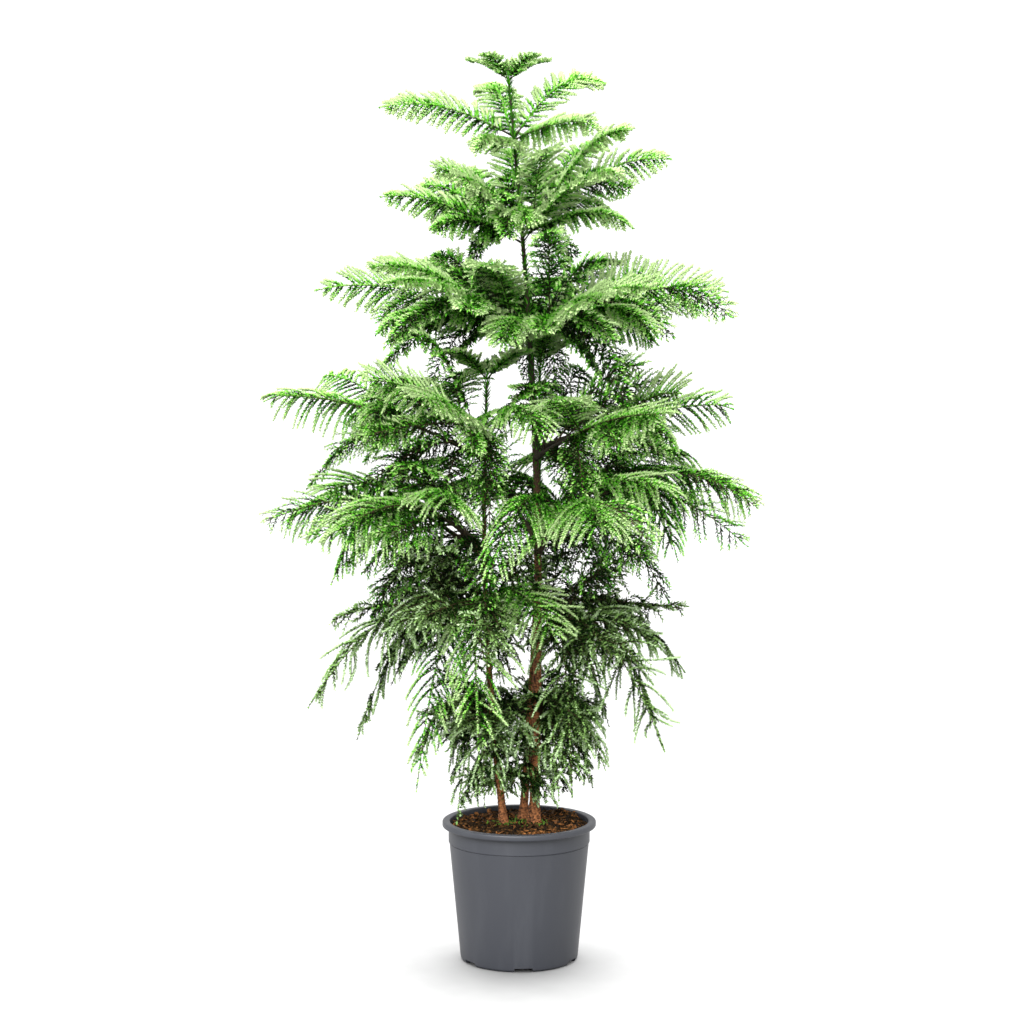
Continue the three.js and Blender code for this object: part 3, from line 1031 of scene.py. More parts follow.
@dataclass(frozen=True)
class BranchletRule:
    """How branchlets stand along both sides of a rib.

    They sweep forward by an angle in degrees, and are longest past the first part of the rib. A pair of
    strays is what an even frond has, and what a wild one adds.
    """

    rib_end: float = 0.95
    fewest: int = 3
    offsets: tuple[float, float] = (0.25, 0.75)
    root_stray: float = 0.15
    sweep_base: float = 60.0
    sweep_tip: float = 45.0
    sweep_stray: tuple[float, float] = (3.0, 14.0)
    first_length: float = 0.5
    swell: float = 2.4
    tip_cut: float = 0.985
    bluntness: float = 0.6
    length_stray: tuple[float, float] = (0.05, 0.25)
    shortest: float = 0.4
    longest: float = 1.25
    lift_stray: tuple[float, float] = (0.05, 0.25)
    near_lift: float = 0.15
    far_lift: float = 1.25
    hook: float = 0.12
    bend_stray: tuple[float, float] = (0.02, 0.1)

    def grow(self, frond: Frond, draw: np.random.Generator) -> Branchlets:
        """Sets the branchlets of a frond, each arching to its own slope.

        Args:
            frond: The frond.
            draw: The frond's seeded source of scatter.

        Returns:
            Its branchlets.
        """
        habit = frond.habit
        sweep_stray, length_stray, lift_stray, bend_stray = (
            even + wilder * habit.wild
            for even, wilder in (self.sweep_stray, self.length_stray, self.lift_stray, self.bend_stray)
        )
        span = self.rib_end - frond.bare_end
        count = max(self.fewest, round(frond.spine.length * span / habit.spacing))
        share = np.concatenate([(np.arange(count) + offset) / count for offset in self.offsets])
        side = np.repeat([1.0, -1.0], count)
        kept = draw.random(2 * count) >= habit.gaps
        run = np.clip(share + draw.normal(0.0, self.root_stray, 2 * count) / count, 0.0, 1.0)
        jitter = draw.normal(0.0, 1.0, (6, 2 * count))
        run, side, jitter = run[kept], side[kept], jitter[:, kept]
        at = frond.bare_end + span * run
        along, right = frond.spine.frames(at, frond.roll)
        sweep = np.radians(blend(self.sweep_base, self.sweep_tip, run) + sweep_stray * jitter[0])
        out = along * np.cos(sweep)[:, None] + right * (side * np.sin(sweep))[:, None]
        swelling = np.minimum(1.0, self.first_length + self.swell * run)
        profile = swelling * (1.0 - (self.tip_cut * run) ** habit.taper) ** self.bluntness
        length = frond.spray * profile * np.clip(1.0 + length_stray * jitter[1], self.shortest, self.longest)
        lift = frond.lift + lift_stray * jitter[2]
        level_out = unit(out + (self.near_lift * lift)[:, None] * UP)
        fallen = unit(out + (self.far_lift * lift - self.hook)[:, None] * UP)
        root = frond.spine.at(at)
        stray = bend_stray * length[:, None] * jitter[3:].T
        bend = root + level_out * (0.5 * length)[:, None] + stray
        return Branchlets(root, bend, root + fallen * length[:, None], run)


@dataclass(frozen=True)
class NeedleRule:
    """How needles stand round a twig. Towards its tip they close up and get shorter."""

    steep: float = 0.95
    turn_stray: float = 0.35
    closing: float = 0.3
    lean_stray: float = 7.0
    upward: float = 0.08
    shortening: float = 0.2
    length_stray: float = 0.1
    keel: float = 0.3
    widest: float = 0.45

    def grow(
        self, places: Array, along: Array, share: Array, blade: Blade, draw: np.random.Generator
    ) -> Array:
        """Sets needles round a twig, each a slim keeled blade that leans forward.

        Args:
            places: Where each one is rooted, on the twig's centre line.
            along: The twig's direction there.
            share: How far along its twig each one is.
            blade: The needles' size.
            draw: A seeded source of scatter.

        Returns:
            The base, one edge, the tip and the other edge of each needle.
        """
        count = len(places)
        right, above = square_to(along, self.steep)
        turn = (GOLDEN_ANGLE * np.arange(count) + draw.normal(0.0, self.turn_stray, count))[:, None]
        outward = right * np.cos(turn) + above * np.sin(turn)
        spread = blade.spread * (1.0 - self.closing * share ** 4)
        lean = np.radians(spread + draw.normal(0.0, self.lean_stray, count))[:, None]
        point = unit(along * np.cos(lean) + outward * np.sin(lean) + self.upward * UP)
        wide = unit(np.cross(point, outward))
        thick = np.cross(point, wide)
        size = blade.length * (1.0 - self.shortening * share ** 6)
        size = (size * draw.normal(1.0, self.length_stray, count))[:, None]
        keel = self.keel * blade.width * thick
        edge = 0.5 * blade.width * wide
        middle = places + self.widest * size * point + keel
        return np.stack([places, middle - edge, places + size * point, middle + edge], axis=1)


@dataclass(frozen=True)
class TintRule:
    """What makes needles look fresher or darker. How far along frond and twig they are counts for young
    growth, and for painted shade on the inner parts; how far up they point is painted light; needles on
    the rib take painted shade.
    """

    along_frond: float = 0.28
    along_twig: float = 1.1
    twig_middle: float = 0.48
    # Painted light: needles that point up take paler tints.
    upward: float = 0.36
    # Painted shade: needles on the rib take darker tints.
    rib_painted_shade: float = 0.15
    along_rib: float = 0.3
    twig_scatter: float = 0.13
    needle_scatter: float = 0.17


@dataclass
class NeedleBins:
    """Needles gathered by half of the crown and tint, to be joined into pieces."""

    CORNERS: ClassVar[int] = 4
    FACES: ClassVar[tuple[tuple[int, ...], ...]] = ((0, 2, 1), (0, 3, 2))

    needles: dict[tuple[Zone, Tint], list[Array]] = field(default_factory=partial(defaultdict, list))
    nodes: dict[tuple[Zone, Tint], set[str]] = field(default_factory=partial(defaultdict, set))

    def add(self, zone: Zone, tint: Tint, needles: Array, node: str | None) -> None:
        """Keeps needles for the piece of their zone and tint.

        Args:
            zone: The half of the crown.
            tint: Their green.
            needles: The base, one edge, the tip and the other edge of each needle.
            node: The solid that they stand for, if any.
        """
        if len(needles):
            self.needles[zone, tint].append(needles)
            if node:
                self.nodes[zone, tint].add(node)

    def build(self) -> None:
        """Joins the needles of each zone and tint, in as many pieces as they need."""
        materials = {tint: finish.material() for tint, finish in NEEDLES.items()}
        for zone, tint in sorted(self.needles, key=str):
            needles = np.concatenate(self.needles[zone, tint])
            share = math.ceil(len(needles) * len(self.FACES) / PIECE_TRIANGLES)
            for i, part in enumerate(np.array_split(needles, share)):
                first = np.arange(len(part))[:, None] * self.CORNERS
                faces = np.concatenate([first + face for face in self.FACES])
                name = f"needles_{zone.name.lower()}_{tint.value}_{i + 1}"
                piece = object_from_arrays(name, part.reshape(-1, 3), [faces])
                settle(piece, name, materials[tint])
                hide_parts(*sorted(self.nodes[zone, tint]))


@dataclass(frozen=True)
class BoughRelief:
    """The relief of a bough: scales that wind round it, and a collar where it leaves the stem."""

    sides: int = 10
    rings: int = 40
    overlap: float = 0.01
    rows: tuple[float, float] = (3.0, 2.0)
    winding: tuple[float, float] = (14.0 * math.pi, 9.0)
    depth: float = 0.07
    collar: float = 0.5
    collar_length: float = 0.06

    def weave(self, share: Array) -> Array:
        """How the scales stand out, from -1 to 1.

        Args:
            share: Shares of the bough's length.

        Returns:
            The relief by ring and side.
        """
        angle = np.arange(self.sides) * math.tau / self.sides
        along = share[:, None]
        one_way = np.cos(self.rows[0] * angle + self.winding[0] * along)
        return one_way * np.cos(self.rows[1] * angle - self.winding[1] * along)


@dataclass
class Crown:
    """The fronds of every tier and tuft, grown from the stems, and the twigs and needles on them."""

    stems: tuple[Stem, ...]
    tiers: tuple[Tier, ...]
    tufts: dict[str, Tuft]
    tuft_habit: Habit
    forks: dict[Side, Fork]
    shoots: tuple[Shoot, ...]
    shoot_rule: ShootRule = ShootRule()
    low: LowShoots = LowShoots()
    branching: BranchletRule = BranchletRule()
    leafing: NeedleRule = NeedleRule()
    tinting: TintRule = TintRule()
    bough_relief: BoughRelief = BoughRelief()
    gap: float = 0.3
    bough_end: float = 0.26
    bough_radius: float = 4.6
    rib_radius: float = 2.4
    rib_upper: float = 0.65
    rib_tip: float = 0.5
    rib_steps: int = 12
    rib_sides: int = 4
    rib_ridge: float = 0.1
    bare_end: float = 0.08
    needled_from: float = 0.8
    fewest_needles: int = 4
    bow: float = 0.05
    stagger: float = 6.5
    height_scatter: float = 3.0
    azimuth_scatter: float = 7.0
    reach_scatter: float = 0.03
    rise_scatter: float = 0.15
    droop_scatter: float = 0.2
    lift_scatter: float = 0.15
    tone_scatter: float = 0.08
    roll: float = 20.0
    fork_spray: float = 0.85
    fork_rib: float = 1.6
    fork_bare: float = 0.12
    leader_height: float = 10.0
    leader_needles: float = 3.0
    tuft_spray: float = 0.38
    tuft_lift: float = 0.1
    tuft_rib: float = 1.5
    tuft_bare: float = 0.12
    twig_radius: float = 0.85
    twig_taper: float = 0.6
    twig_steps: int = 3
    twig_sides: int = 3
    stem_seed: int = 90
    stem_blade: Blade = Blade(16.0, 2.2, 40.0)
    stem_density: float = 1.2
    stem_fresh: float = 0.3
    # Painted light: fronds that point towards the lamps, at this azimuth, take paler tints.
    light_azimuth: float = -105.0
    painted_light_side: float = 0.08
    fresh_tier: int = 2
    fresh_facing: float = 0.9
    fresh_spacing: float = 11.0
    fresh_wild: float = 0.25
    bins: NeedleBins = field(default_factory=NeedleBins)
    twigs: dict[Zone, list[tuple[Array, Array]]] = field(default_factory=partial(defaultdict, list))
    fronds: list[Frond] = field(default_factory=list)
    boughs: list[tuple[str, Spine, float]] = field(default_factory=list)

    def bearer(self, azimuth: float, height: float) -> Stem:
        """The stem that stands furthest towards an azimuth, which carries the fronds on that side.

        Args:
            azimuth: The way the frond points, in radians.
            height: The frond's height.

        Returns:
            The stem.
        """
        tall = [stem for stem in self.stems if stem.tip > height + stem.rule.top_room]
        return max(tall, key=methodcaller("towards", azimuth, height))

    def habit_at(self, tier: Tier, azimuth: float) -> Habit:
        """Finds a mass's habit: a young one at the front of the fresh tier, and elsewhere the tier's own.

        Args:
            tier: The tier.
            azimuth: The way the mass's main frond points, in radians.

        Returns:
            The habit.
        """
        if tier.level != self.fresh_tier or -math.sin(azimuth) < self.fresh_facing:
            return tier.habit
        return replace(tier.habit, ladder=FRESH_LADDER, spacing=self.fresh_spacing, wild=self.fresh_wild)

    def rolled(self, share: float, tier: Tier, azimuth: float) -> float:
        """A frond's roll in radians: its share of the scatter, and its turn to face the viewer."""
        return math.radians(self.roll * share - tier.face * math.cos(azimuth))

    def plan_mass(self, tier: Tier, index: int) -> None:
        """Places one mass of a tier: its bough, its main frond and its side fronds.

        Args:
            tier: The tier.
            index: The mass's place in it.
        """
        level = tier.level
        mix = partial(scatter, level, index)
        turn = tier.turn + index * 360.0 / tier.count + self.azimuth_scatter * mix(Channel.AZIMUTH)
        azimuth = math.radians(turn)
        is_odd_one_out = index % 2 == 0 and index + 1 == tier.count
        stagger = 0.0 if is_odd_one_out else self.stagger * (-1) ** index
        height = tier.height + stagger + self.height_scatter * mix(Channel.HEIGHT)
        stem = self.bearer(azimuth, height)
        x, y, radius = stem.at(height)
        x_above, y_above, _ = stem.at(height + self.bough_radius)
        lean_out = abs((x_above - x) * math.cos(azimuth) + (y_above - y) * math.sin(azimuth))
        reach = 1.0 + self.reach_scatter * mix(Channel.REACH)
        slope = tier.tilt * math.cos(azimuth) + tier.back * math.sin(azimuth)
        rise = tier.rise * (1.0 + self.rise_scatter * mix(Channel.RISE) + slope)
        facing = max(0.0, -math.sin(azimuth))
        droop = tier.droop * (1.0 + self.droop_scatter * mix(Channel.DROOP)) + tier.front * facing ** 2
        lift = tier.lift + self.lift_scatter * mix(Channel.LIFT)
        spine = Spine(
            np.array([x, y, height]), tier.tip_at(azimuth, reach), rise, tier.crest, droop,
            self.bow * mix(Channel.BOW),
        )
        run = float(np.linalg.norm(spine.plan))
        start = (radius + self.gap + lean_out) / run
        mass_start = self.bough_end + self.gap / run if tier.bough else start
        node = f"tier{level}_foliage_{index + 1}"
        # Painted light: a frond that faces the lamps is dealt a higher tone.
        lit = self.painted_light_side * math.cos(azimuth - math.radians(self.light_azimuth))
        habit = self.habit_at(tier, azimuth)
        tone = habit.tone + lit + self.tone_scatter * mix(Channel.TONE)
        if tier.bough:
            self.boughs.append((f"tier{level}_bough_{index + 1}", spine, start))
        self.fronds.append(Frond(
            node, tier.zone, spine, mass_start if tier.bough else 0.0,
            self.bough_end if tier.bough else self.bare_end, self.rib_radius, tier.spray, lift,
            self.rolled(mix(Channel.ROLL), tier, azimuth), habit, tone, (level, index, Side.MAIN.value),
        ))
        for side in tier.forks:
            fork = self.forks[side]
            place = side.value - Side.UNDER.value
            side_azimuth = azimuth + math.radians(fork.turn) * tier.hand
            base = spine.at(np.array([mass_start + fork.fork]))[0]
            side_spine = Spine(
                base, tier.tip_at(side_azimuth, reach * fork.reach),
                rise * fork.rise - (0.0 if fork.from_fork else base[2] - height), tier.crest * fork.crest,
                droop * fork.droop + tier.sag * fork.sag, self.bow * mix(Channel.SIDE_BOW + place),
            )
            self.fronds.append(Frond(
                node, tier.zone, side_spine, 0.0, self.fork_bare, self.fork_rib,
                tier.spray * self.fork_spray, lift + fork.lift,
                self.rolled(mix(Channel.SIDE_ROLL + place), tier, side_azimuth), habit, tone + fork.tone,
                (level, index, side.value),
            ))
        self.plan_shoots(tier, index, spine, azimuth, node)

    def plan_shoots(self, tier: Tier, index: int, spine: Spine, azimuth: float, node: str) -> None:
        """Places the finer fronds that fill a mass, most of them next to the stem.

        Args:
            tier: The tier.
            index: The mass's place in it.
            spine: The main rib's curve.
            azimuth: The way the main rib points, in radians.
            node: The mass's name.
        """
        rule = self.shoot_rule
        draw = np.random.default_rng((tier.level, index, rule.seed))
        run = float(np.linalg.norm(spine.plan))
        habit = rule.habit(tier.habit)
        copies = math.ceil(habit.fill)
        for i, shoot in enumerate(self.shoots * copies):
            if draw.random() * copies >= habit.fill:
                continue
            share, turn, length, climb = draw.normal(1.0, rule.stray, 4) * (
                shoot.share, shoot.turn, shoot.length, shoot.climb
            )
            way = azimuth + math.radians(turn) * (-1) ** (tier.level + index)
            base = spine.at(np.array([share]))[0]
            tip = base + run * length * heading(way)
            if climb > 0.0:
                curve = Spine(base, tip, climb * run, rule.climbing_crest, 0.0, 0.0)
            else:
                curve = Spine(base, tip, 0.0, rule.hanging_crest, -climb * run, 0.0)
            self.fronds.append(Frond(
                node, tier.zone, curve, 0.0, rule.bare_end, rule.rib_radius, tier.spray * rule.spray,
                rule.lift * tier.lift, self.rolled(draw.normal(), tier, way), habit, habit.tone + shoot.tone,
                (tier.level, index, rule.first_frond + i),
            ))

    def plan_low_shoots(self, tier: Tier) -> None:
        """Places short hanging fronds on the stems below the lowest tier.

        Args:
            tier: The lowest tier.
        """
        low, rule = self.low, self.shoot_rule
        draw = np.random.default_rng((tier.level, low.seed))
        for i in range(low.count):
            stem = self.stems[i % len(self.stems)]
            foot = stem.rule.foot
            height = blend(foot + low.above_foot, tier.height - low.below_tier, draw.random())
            x, y, _ = stem.at(height)
            way = i * GOLDEN_ANGLE + low.turn_stray * draw.normal()
            base = np.array([x, y, height])
            reach = blend(*low.reach, draw.random())
            droop = min(blend(*low.droop, draw.random()), height - foot - low.clearance)
            spine = Spine(base, base + reach * heading(way), low.rise, low.crest, droop, low.bow)
            roll = math.radians(self.roll * draw.normal())
            # Painted shade: low fronds under the crown take darker tints.
            tone = tier.habit.tone - low.darker + low.tone_stray * draw.normal()
            self.fronds.append(Frond(
                f"tier{tier.level}_foliage_{i % tier.count + 1}", tier.zone, spine, 0.0, rule.bare_end,
                rule.rib_radius, tier.spray * rule.spray, low.lift * tier.lift, roll, tier.habit, tone,
                (tier.level, i, low.frond_seed),
            ))

    def plan_tuft(self, number: int, stem: Stem) -> None:
        """Places the small fronds at a stem's tip.

        Args:
            number: The stem's number, which seeds their scatter.
            stem: The stem.
        """
        tuft = self.tufts[stem.name]
        x, y, _ = stem.at(stem.tip)
        base = np.array([x, y, stem.tip + self.gap + 0.5 * self.leader_height])
        level = len(self.tiers) + 1 + number
        for i in range(tuft.count):
            azimuth = math.radians(tuft.turn + i * 360.0 / tuft.count)
            spine = Spine(base, base + tuft.length * heading(azimuth), tuft.rise, 1.0, 0.0, 0.0)
            self.fronds.append(Frond(
                f"{stem.name}_tuft", Zone.UPPER, spine, 0.0, self.tuft_bare, self.tuft_rib,
                tuft.length * self.tuft_spray, self.tuft_lift, 0.0, self.tuft_habit, self.tuft_habit.tone,
                (level, i, Side.MAIN.value),
            ))

    def dress(self, frond: Frond) -> None:
        """Grows a frond's branchlets and the needles on them and on its rib, and deals out their tints.

        Args:
            frond: The frond.
        """
        habit, tinting = frond.habit, self.tinting
        draw = np.random.default_rng(frond.seed)
        twigs = self.branching.grow(frond, draw)
        number = len(twigs.run)
        step = np.linspace(0.0, 1.0, self.twig_steps)
        which = np.repeat(np.arange(number), len(step))
        centres, _ = twigs.at(which, np.tile(step, number))
        radii = np.tile(self.twig_radius * (1.0 - self.twig_taper * step), (number, 1))
        self.twigs[frond.zone].append((centres.reshape(number, len(step), 3), radii))

        score = frond.tone + tinting.along_frond * (twigs.run - 0.5)
        score = score + draw.normal(0.0, tinting.twig_scatter, number)
        counts = np.maximum(self.fewest_needles, np.round(twigs.length * habit.density)).astype(int)
        which = np.repeat(np.arange(number), counts)
        order = np.arange(len(which)) - np.repeat(np.cumsum(counts) - counts, counts)
        share = (order + draw.random(len(which))) / counts[which]
        places, along = twigs.at(which, share)
        needles = self.leafing.grow(places, along, share, habit.blade, draw)
        # Painted light and shade: needles that point up take paler tints and those near a twig's base darker
        # ones; the pale twig ends are also young growth.
        upward = (needles[:, 2] - needles[:, 0])[:, 2] / habit.blade.length
        outward = tinting.along_twig * (share - tinting.twig_middle)
        self.deal(frond, needles, score[which] + outward + tinting.upward * upward)

        bare = frond.bare_end * self.needled_from
        count = round(frond.spine.length * (1.0 - bare) * habit.density)
        share = np.sort(draw.random(count))
        at = bare + (1.0 - bare) * share
        along, _ = frond.spine.frames(at, 0.0)
        needles = self.leafing.grow(frond.spine.at(at), along, share, habit.blade, draw)
        # Painted shade: needles on the rib take darker tints.
        self.deal(frond, needles, frond.tone - tinting.rib_painted_shade + tinting.along_rib * (share - 0.5))

    def deal(self, frond: Frond, needles: Array, score: Array) -> None:
        """Sorts a frond's needles into the bins of their tints.

        Args:
            frond: The frond.
            needles: Its needles.
            score: How fresh each one is, from 0 to 1.
        """
        ladder = frond.habit.ladder
        draw = np.random.default_rng(frond.seed[::-1])
        mixed = score + draw.normal(0.0, self.tinting.needle_scatter, len(score))
        rung = np.clip((mixed * len(ladder)).astype(int), 0, len(ladder) - 1)
        for i, tint in enumerate(ladder):
            self.bins.add(frond.zone, tint, needles[rung == i], frond.node)

    def clothe_stem(self, number: int, stem: Stem) -> None:
        """Sets the upright needles that stay on the young part of a stem.

        Args:
            number: The stem's number, which seeds their scatter.
            stem: The stem.
        """
        draw = np.random.default_rng((self.stem_seed, number))
        first, last = stem.needles_from, stem.tip + self.leader_needles * self.leader_height
        count = round((last - first) * self.stem_density)
        heights = np.sort(blend(first, last, draw.random(count)))
        x, y, _ = stem.at(heights)
        places = np.stack([x, y, heights], axis=1)
        needles = self.leafing.grow(places, np.tile(UP, (count, 1)), np.zeros(count), self.stem_blade, draw)
        is_fresh = draw.random(count) < self.stem_fresh
        self.bins.add(Zone.LOWER, Tint.DEEP, needles[~is_fresh], None)
        self.bins.add(Zone.LOWER, Tint.LEAF, needles[is_fresh], None)

    def build_twigs(self) -> None:
        """Joins the branchlets of each half of the crown into one piece, and its ribs into another."""
        finishes = {Zone.UPPER: GREEN_RIBS.material(), Zone.LOWER: BROWN_RIBS.material()}
        for zone, batches in self.twigs.items():
            centres = np.concatenate([batch[0] for batch in batches])
            radii = np.concatenate([batch[1] for batch in batches])
            name = f"twigs_{zone.name.lower()}"
            piece = object_from_arrays(name, *tubes(centres, radii, self.twig_sides))
            settle(piece, name, finishes[zone])
            self.build_ribs(zone, finishes[zone])

    def build_ribs(self, zone: Zone, material: bpy.types.Material) -> None:
        """Joins the ribs of one half of the crown into one piece, with the ridges that needles leave.

        Args:
            zone: The half of the crown.
            material: Their finish.
        """
        fronds = [frond for frond in self.fronds if frond.zone is zone]
        step = np.linspace(0.0, 1.0, self.rib_steps)
        centres = np.stack([frond.spine.at(blend(frond.start, 1.0, step)) for frond in fronds])
        thick = np.array([frond.rib_radius for frond in fronds])[:, None]
        thick = thick * (self.rib_upper if zone is Zone.UPPER else 1.0)
        ridge = 1.0 + self.rib_ridge * (-1.0) ** np.arange(len(step))
        radii = blend(thick, self.rib_tip, step) * ridge
        name = f"ribs_{zone.name.lower()}"
        piece = object_from_arrays(name, *tubes(centres, radii, self.rib_sides))
        settle(piece, name, material)
        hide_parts(*sorted({frond.node for frond in fronds}))

    def build_boughs(self) -> None:
        """Joins the boughs of the two widest tiers into one piece with scaly relief."""
        rule = self.bough_relief
        step = np.linspace(0.0, 1.0, rule.rings)
        centres = np.stack([
            spine.at(blend(0.5 * start, self.bough_end + rule.overlap, step))
            for _, spine, start in self.boughs
        ])
        weave = rule.weave(step)
        collar = rule.collar * np.exp(-step / rule.collar_length)
        reach = blend(self.bough_radius, self.rib_radius, step)[:, None] * (1.0 + rule.depth * weave)
        reach = reach * (1.0 + collar[:, None])
        radii = np.tile(reach, (len(self.boughs), 1, 1))
        piece = object_from_arrays("boughs", *tubes(centres, radii, rule.sides))
        keep_relief(piece, np.tile((0.5 + 0.5 * weave).ravel(), len(self.boughs)))
        settle(piece, "boughs", BOUGH_BARK.material())
        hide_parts(*[name for name, _, _ in self.boughs])

    def build(self) -> None:
        """Grows the whole crown."""
        for tier in self.tiers:
            for index in range(tier.count):
                self.plan_mass(tier, index)
        self.plan_low_shoots(self.tiers[0])
        for number, stem in enumerate(self.stems):
            self.plan_tuft(number, stem)
            self.clothe_stem(number, stem)
        for frond in self.fronds:
            self.dress(frond)
        self.build_boughs()
        self.build_twigs()
        self.bins.build()


# The pot and its soil

@dataclass
class NurseryPot:
    """A tapered pot with a shoulder band, a rolled lip and a notched foot."""

    height: float = 218.0
    lip_radius: float = 120.0
    lip_height: float = 9.0
    lip_round: float = 2.4
    lip_fillet: float = 1.0
    shoulder_radius: float = 110.4
    shoulder_drop: float = 34.0
    shoulder_step: float = 1.4
    groove: float = 0.6
    groove_depth: float = 0.5
    foot_radius: float = 92.0
    foot_edge: float = 5.0
    wall: float = 2.2
    floor: float = 9.5
    channel_inner: float = 42.0
    channel_outer: float = 77.0
    channel_height: float = 6.5
    notches: int = 6
    notch_azimuth: float = 274.0
    notch_width: float = 28.0
    notch_round: float = 1.5
    notch_round_steps: int = 3
    drain_radius: float = 6.0
    drain_sides: int = 24
    segments: int = 120
    arc_points: int = 5
    smooth_below: float = 38.0

    def radius_at(self, height: float) -> float:
        """Radius of the outer wall at a height, below the shoulder band."""
        share = (height - self.foot_edge) / (self.height - self.shoulder_drop - self.foot_edge)
        return blend(self.foot_radius, self.shoulder_radius - self.shoulder_step, share)

    def arc(
        self, centre: tuple[float, float], radius: float, start: float, end: float
    ) -> list[tuple[float, float]]:
        """Points on a rounded edge of the profile.

        Args:
            centre: The arc's centre, as radius and height.
            radius: The arc's own radius.
            start: Its first angle in degrees.
            end: Its last angle in degrees.

        Returns:
            Points of radius and height.
        """
        angles = np.radians(np.linspace(start, end, self.arc_points))
        return [(centre[0] + radius * math.cos(a), centre[1] + radius * math.sin(a)) for a in angles]

    def profile(self) -> list[tuple[float, float]]:
        """The pot's section, from the middle of its underside out, up, and down inside to its floor.

        Returns:
            Points of radius and height.
        """
        lip_bottom = self.height - self.lip_height
        band_bottom = self.height - self.shoulder_drop
        band_radius = self.radius_at(band_bottom)
        inner_top = self.shoulder_radius - self.wall
        inner_foot = self.radius_at(self.floor) - self.wall
        rim = self.lip_radius - self.lip_round
        return [
            (self.channel_inner - self.channel_height, 0.0),
            (self.channel_inner, self.channel_height),
            (self.channel_outer, self.channel_height),
            (self.channel_outer + self.channel_height, 0.0),
            *self.arc((self.foot_radius - self.foot_edge, self.foot_edge), self.foot_edge, -90.0, 0.0),
            (band_radius, band_bottom - self.groove),
            (band_radius - self.groove_depth, band_bottom),
            (band_radius + self.shoulder_step, band_bottom + self.shoulder_step),
            (self.shoulder_radius, lip_bottom - self.lip_fillet),
            (self.shoulder_radius + self.lip_fillet, lip_bottom),
            *self.arc((rim, lip_bottom + self.lip_round), self.lip_round, -90.0, 0.0),
            *self.arc((rim, self.height - self.lip_round), self.lip_round, 0.0, 90.0),
            *self.arc((inner_top + self.wall, self.height - self.wall), self.wall, 90.0, 180.0),
            (inner_top, lip_bottom),
            (inner_foot, self.floor),
            (self.drain_radius, self.floor),
        ]

    def turned_body(self) -> bpy.types.Object:
        """Draws the section up from a circle, ring by ring.

        Returns:
            The closed body, before its foot is cut.
        """
        profile = self.profile()
        radius, height = profile[0]
        pot = add_primitive(
            bpy.ops.mesh.primitive_circle_add, vertices=self.segments, radius=radius * MM,
            fill_type="NOTHING", location=(0.0, 0.0, height * MM),
        )
        edit_all()
        for next_radius, next_height in profile[1:]:
            climb = (0.0, 0.0, (next_height - height) * MM)
            bpy.ops.mesh.extrude_edges_move(TRANSFORM_OT_translate={"value": climb})
            scale = next_radius / radius
            bpy.ops.transform.resize(
                value=(scale, scale, 1.0), center_override=(0.0, 0.0, next_height * MM)
            )
            radius, height = next_radius, next_height
        close_up()
        return pot

    def cutter(self, index: int) -> bpy.types.Object:
        """A notch in the foot and the drain hole behind it, as one shape to cut away.

        Args:
            index: Which of the notches it is.

        Returns:
            The cutter.
        """
        azimuth = math.radians(self.notch_azimuth + index * 360.0 / self.notches)
        way = heading(azimuth)
        length = self.foot_radius - self.channel_outer + 2.0 * self.channel_height
        notch = add_primitive(
            bpy.ops.mesh.primitive_cube_add, size=1.0,
            location=way * (self.channel_outer + 0.5 * length) * MM, rotation=(0.0, 0.0, azimuth),
        )
        notch.scale = np.array((length, self.notch_width, 2.0 * self.channel_height)) * MM
        apply_place()
        apply_modifier(notch, "BEVEL", width=self.notch_round * MM, segments=self.notch_round_steps)
        drain = add_primitive(
            bpy.ops.mesh.primitive_cylinder_add, vertices=self.drain_sides, radius=self.drain_radius * MM,
            depth=4.0 * self.floor * MM, location=way * 0.5 * (self.channel_inner + self.channel_outer) * MM,
        )
        apply_place()
        notch.select_set(True)
        bpy.context.view_layer.objects.active = drain
        bpy.ops.object.join()
        return drain

    def build(self) -> bpy.types.Object:
        """Turns the pot, cuts its foot and softens its edges.

        Returns:
            The finished pot.
        """
        pot = self.turned_body()
        for index in range(self.notches):
            cutter = self.cutter(index)
            apply_modifier(pot, "BOOLEAN", operation="DIFFERENCE", object=cutter, solver="EXACT")
            bpy.data.objects.remove(cutter)
        make_active(pot)
        apply_place()
        bpy.ops.object.shade_smooth_by_angle(angle=math.radians(self.smooth_below))
        settle(pot, "nursery_pot", POT_PLASTIC.material())
        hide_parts("pot")
        return pot


@dataclass(frozen=True)
class Lumps:
    """Crumbs of one size in the soil: their height, and how their rows wind across and into depth."""

    height: float
    across: float
    across_waver: float
    across_wave: float
    deep: float
    deep_waver: float
    deep_wave: float

    def at(self, x: Array, y: Array) -> Array:
        """How far the crumbs stand out.

        Args:
            x: Places across.
            y: Places in depth.

        Returns:
            The height at each place.
        """
        rows = np.sin(x / self.across + self.across_waver * np.sin(y / self.across_wave))
        return self.height * rows * np.sin(y / self.deep + self.deep_waver * np.sin(x / self.deep_wave))


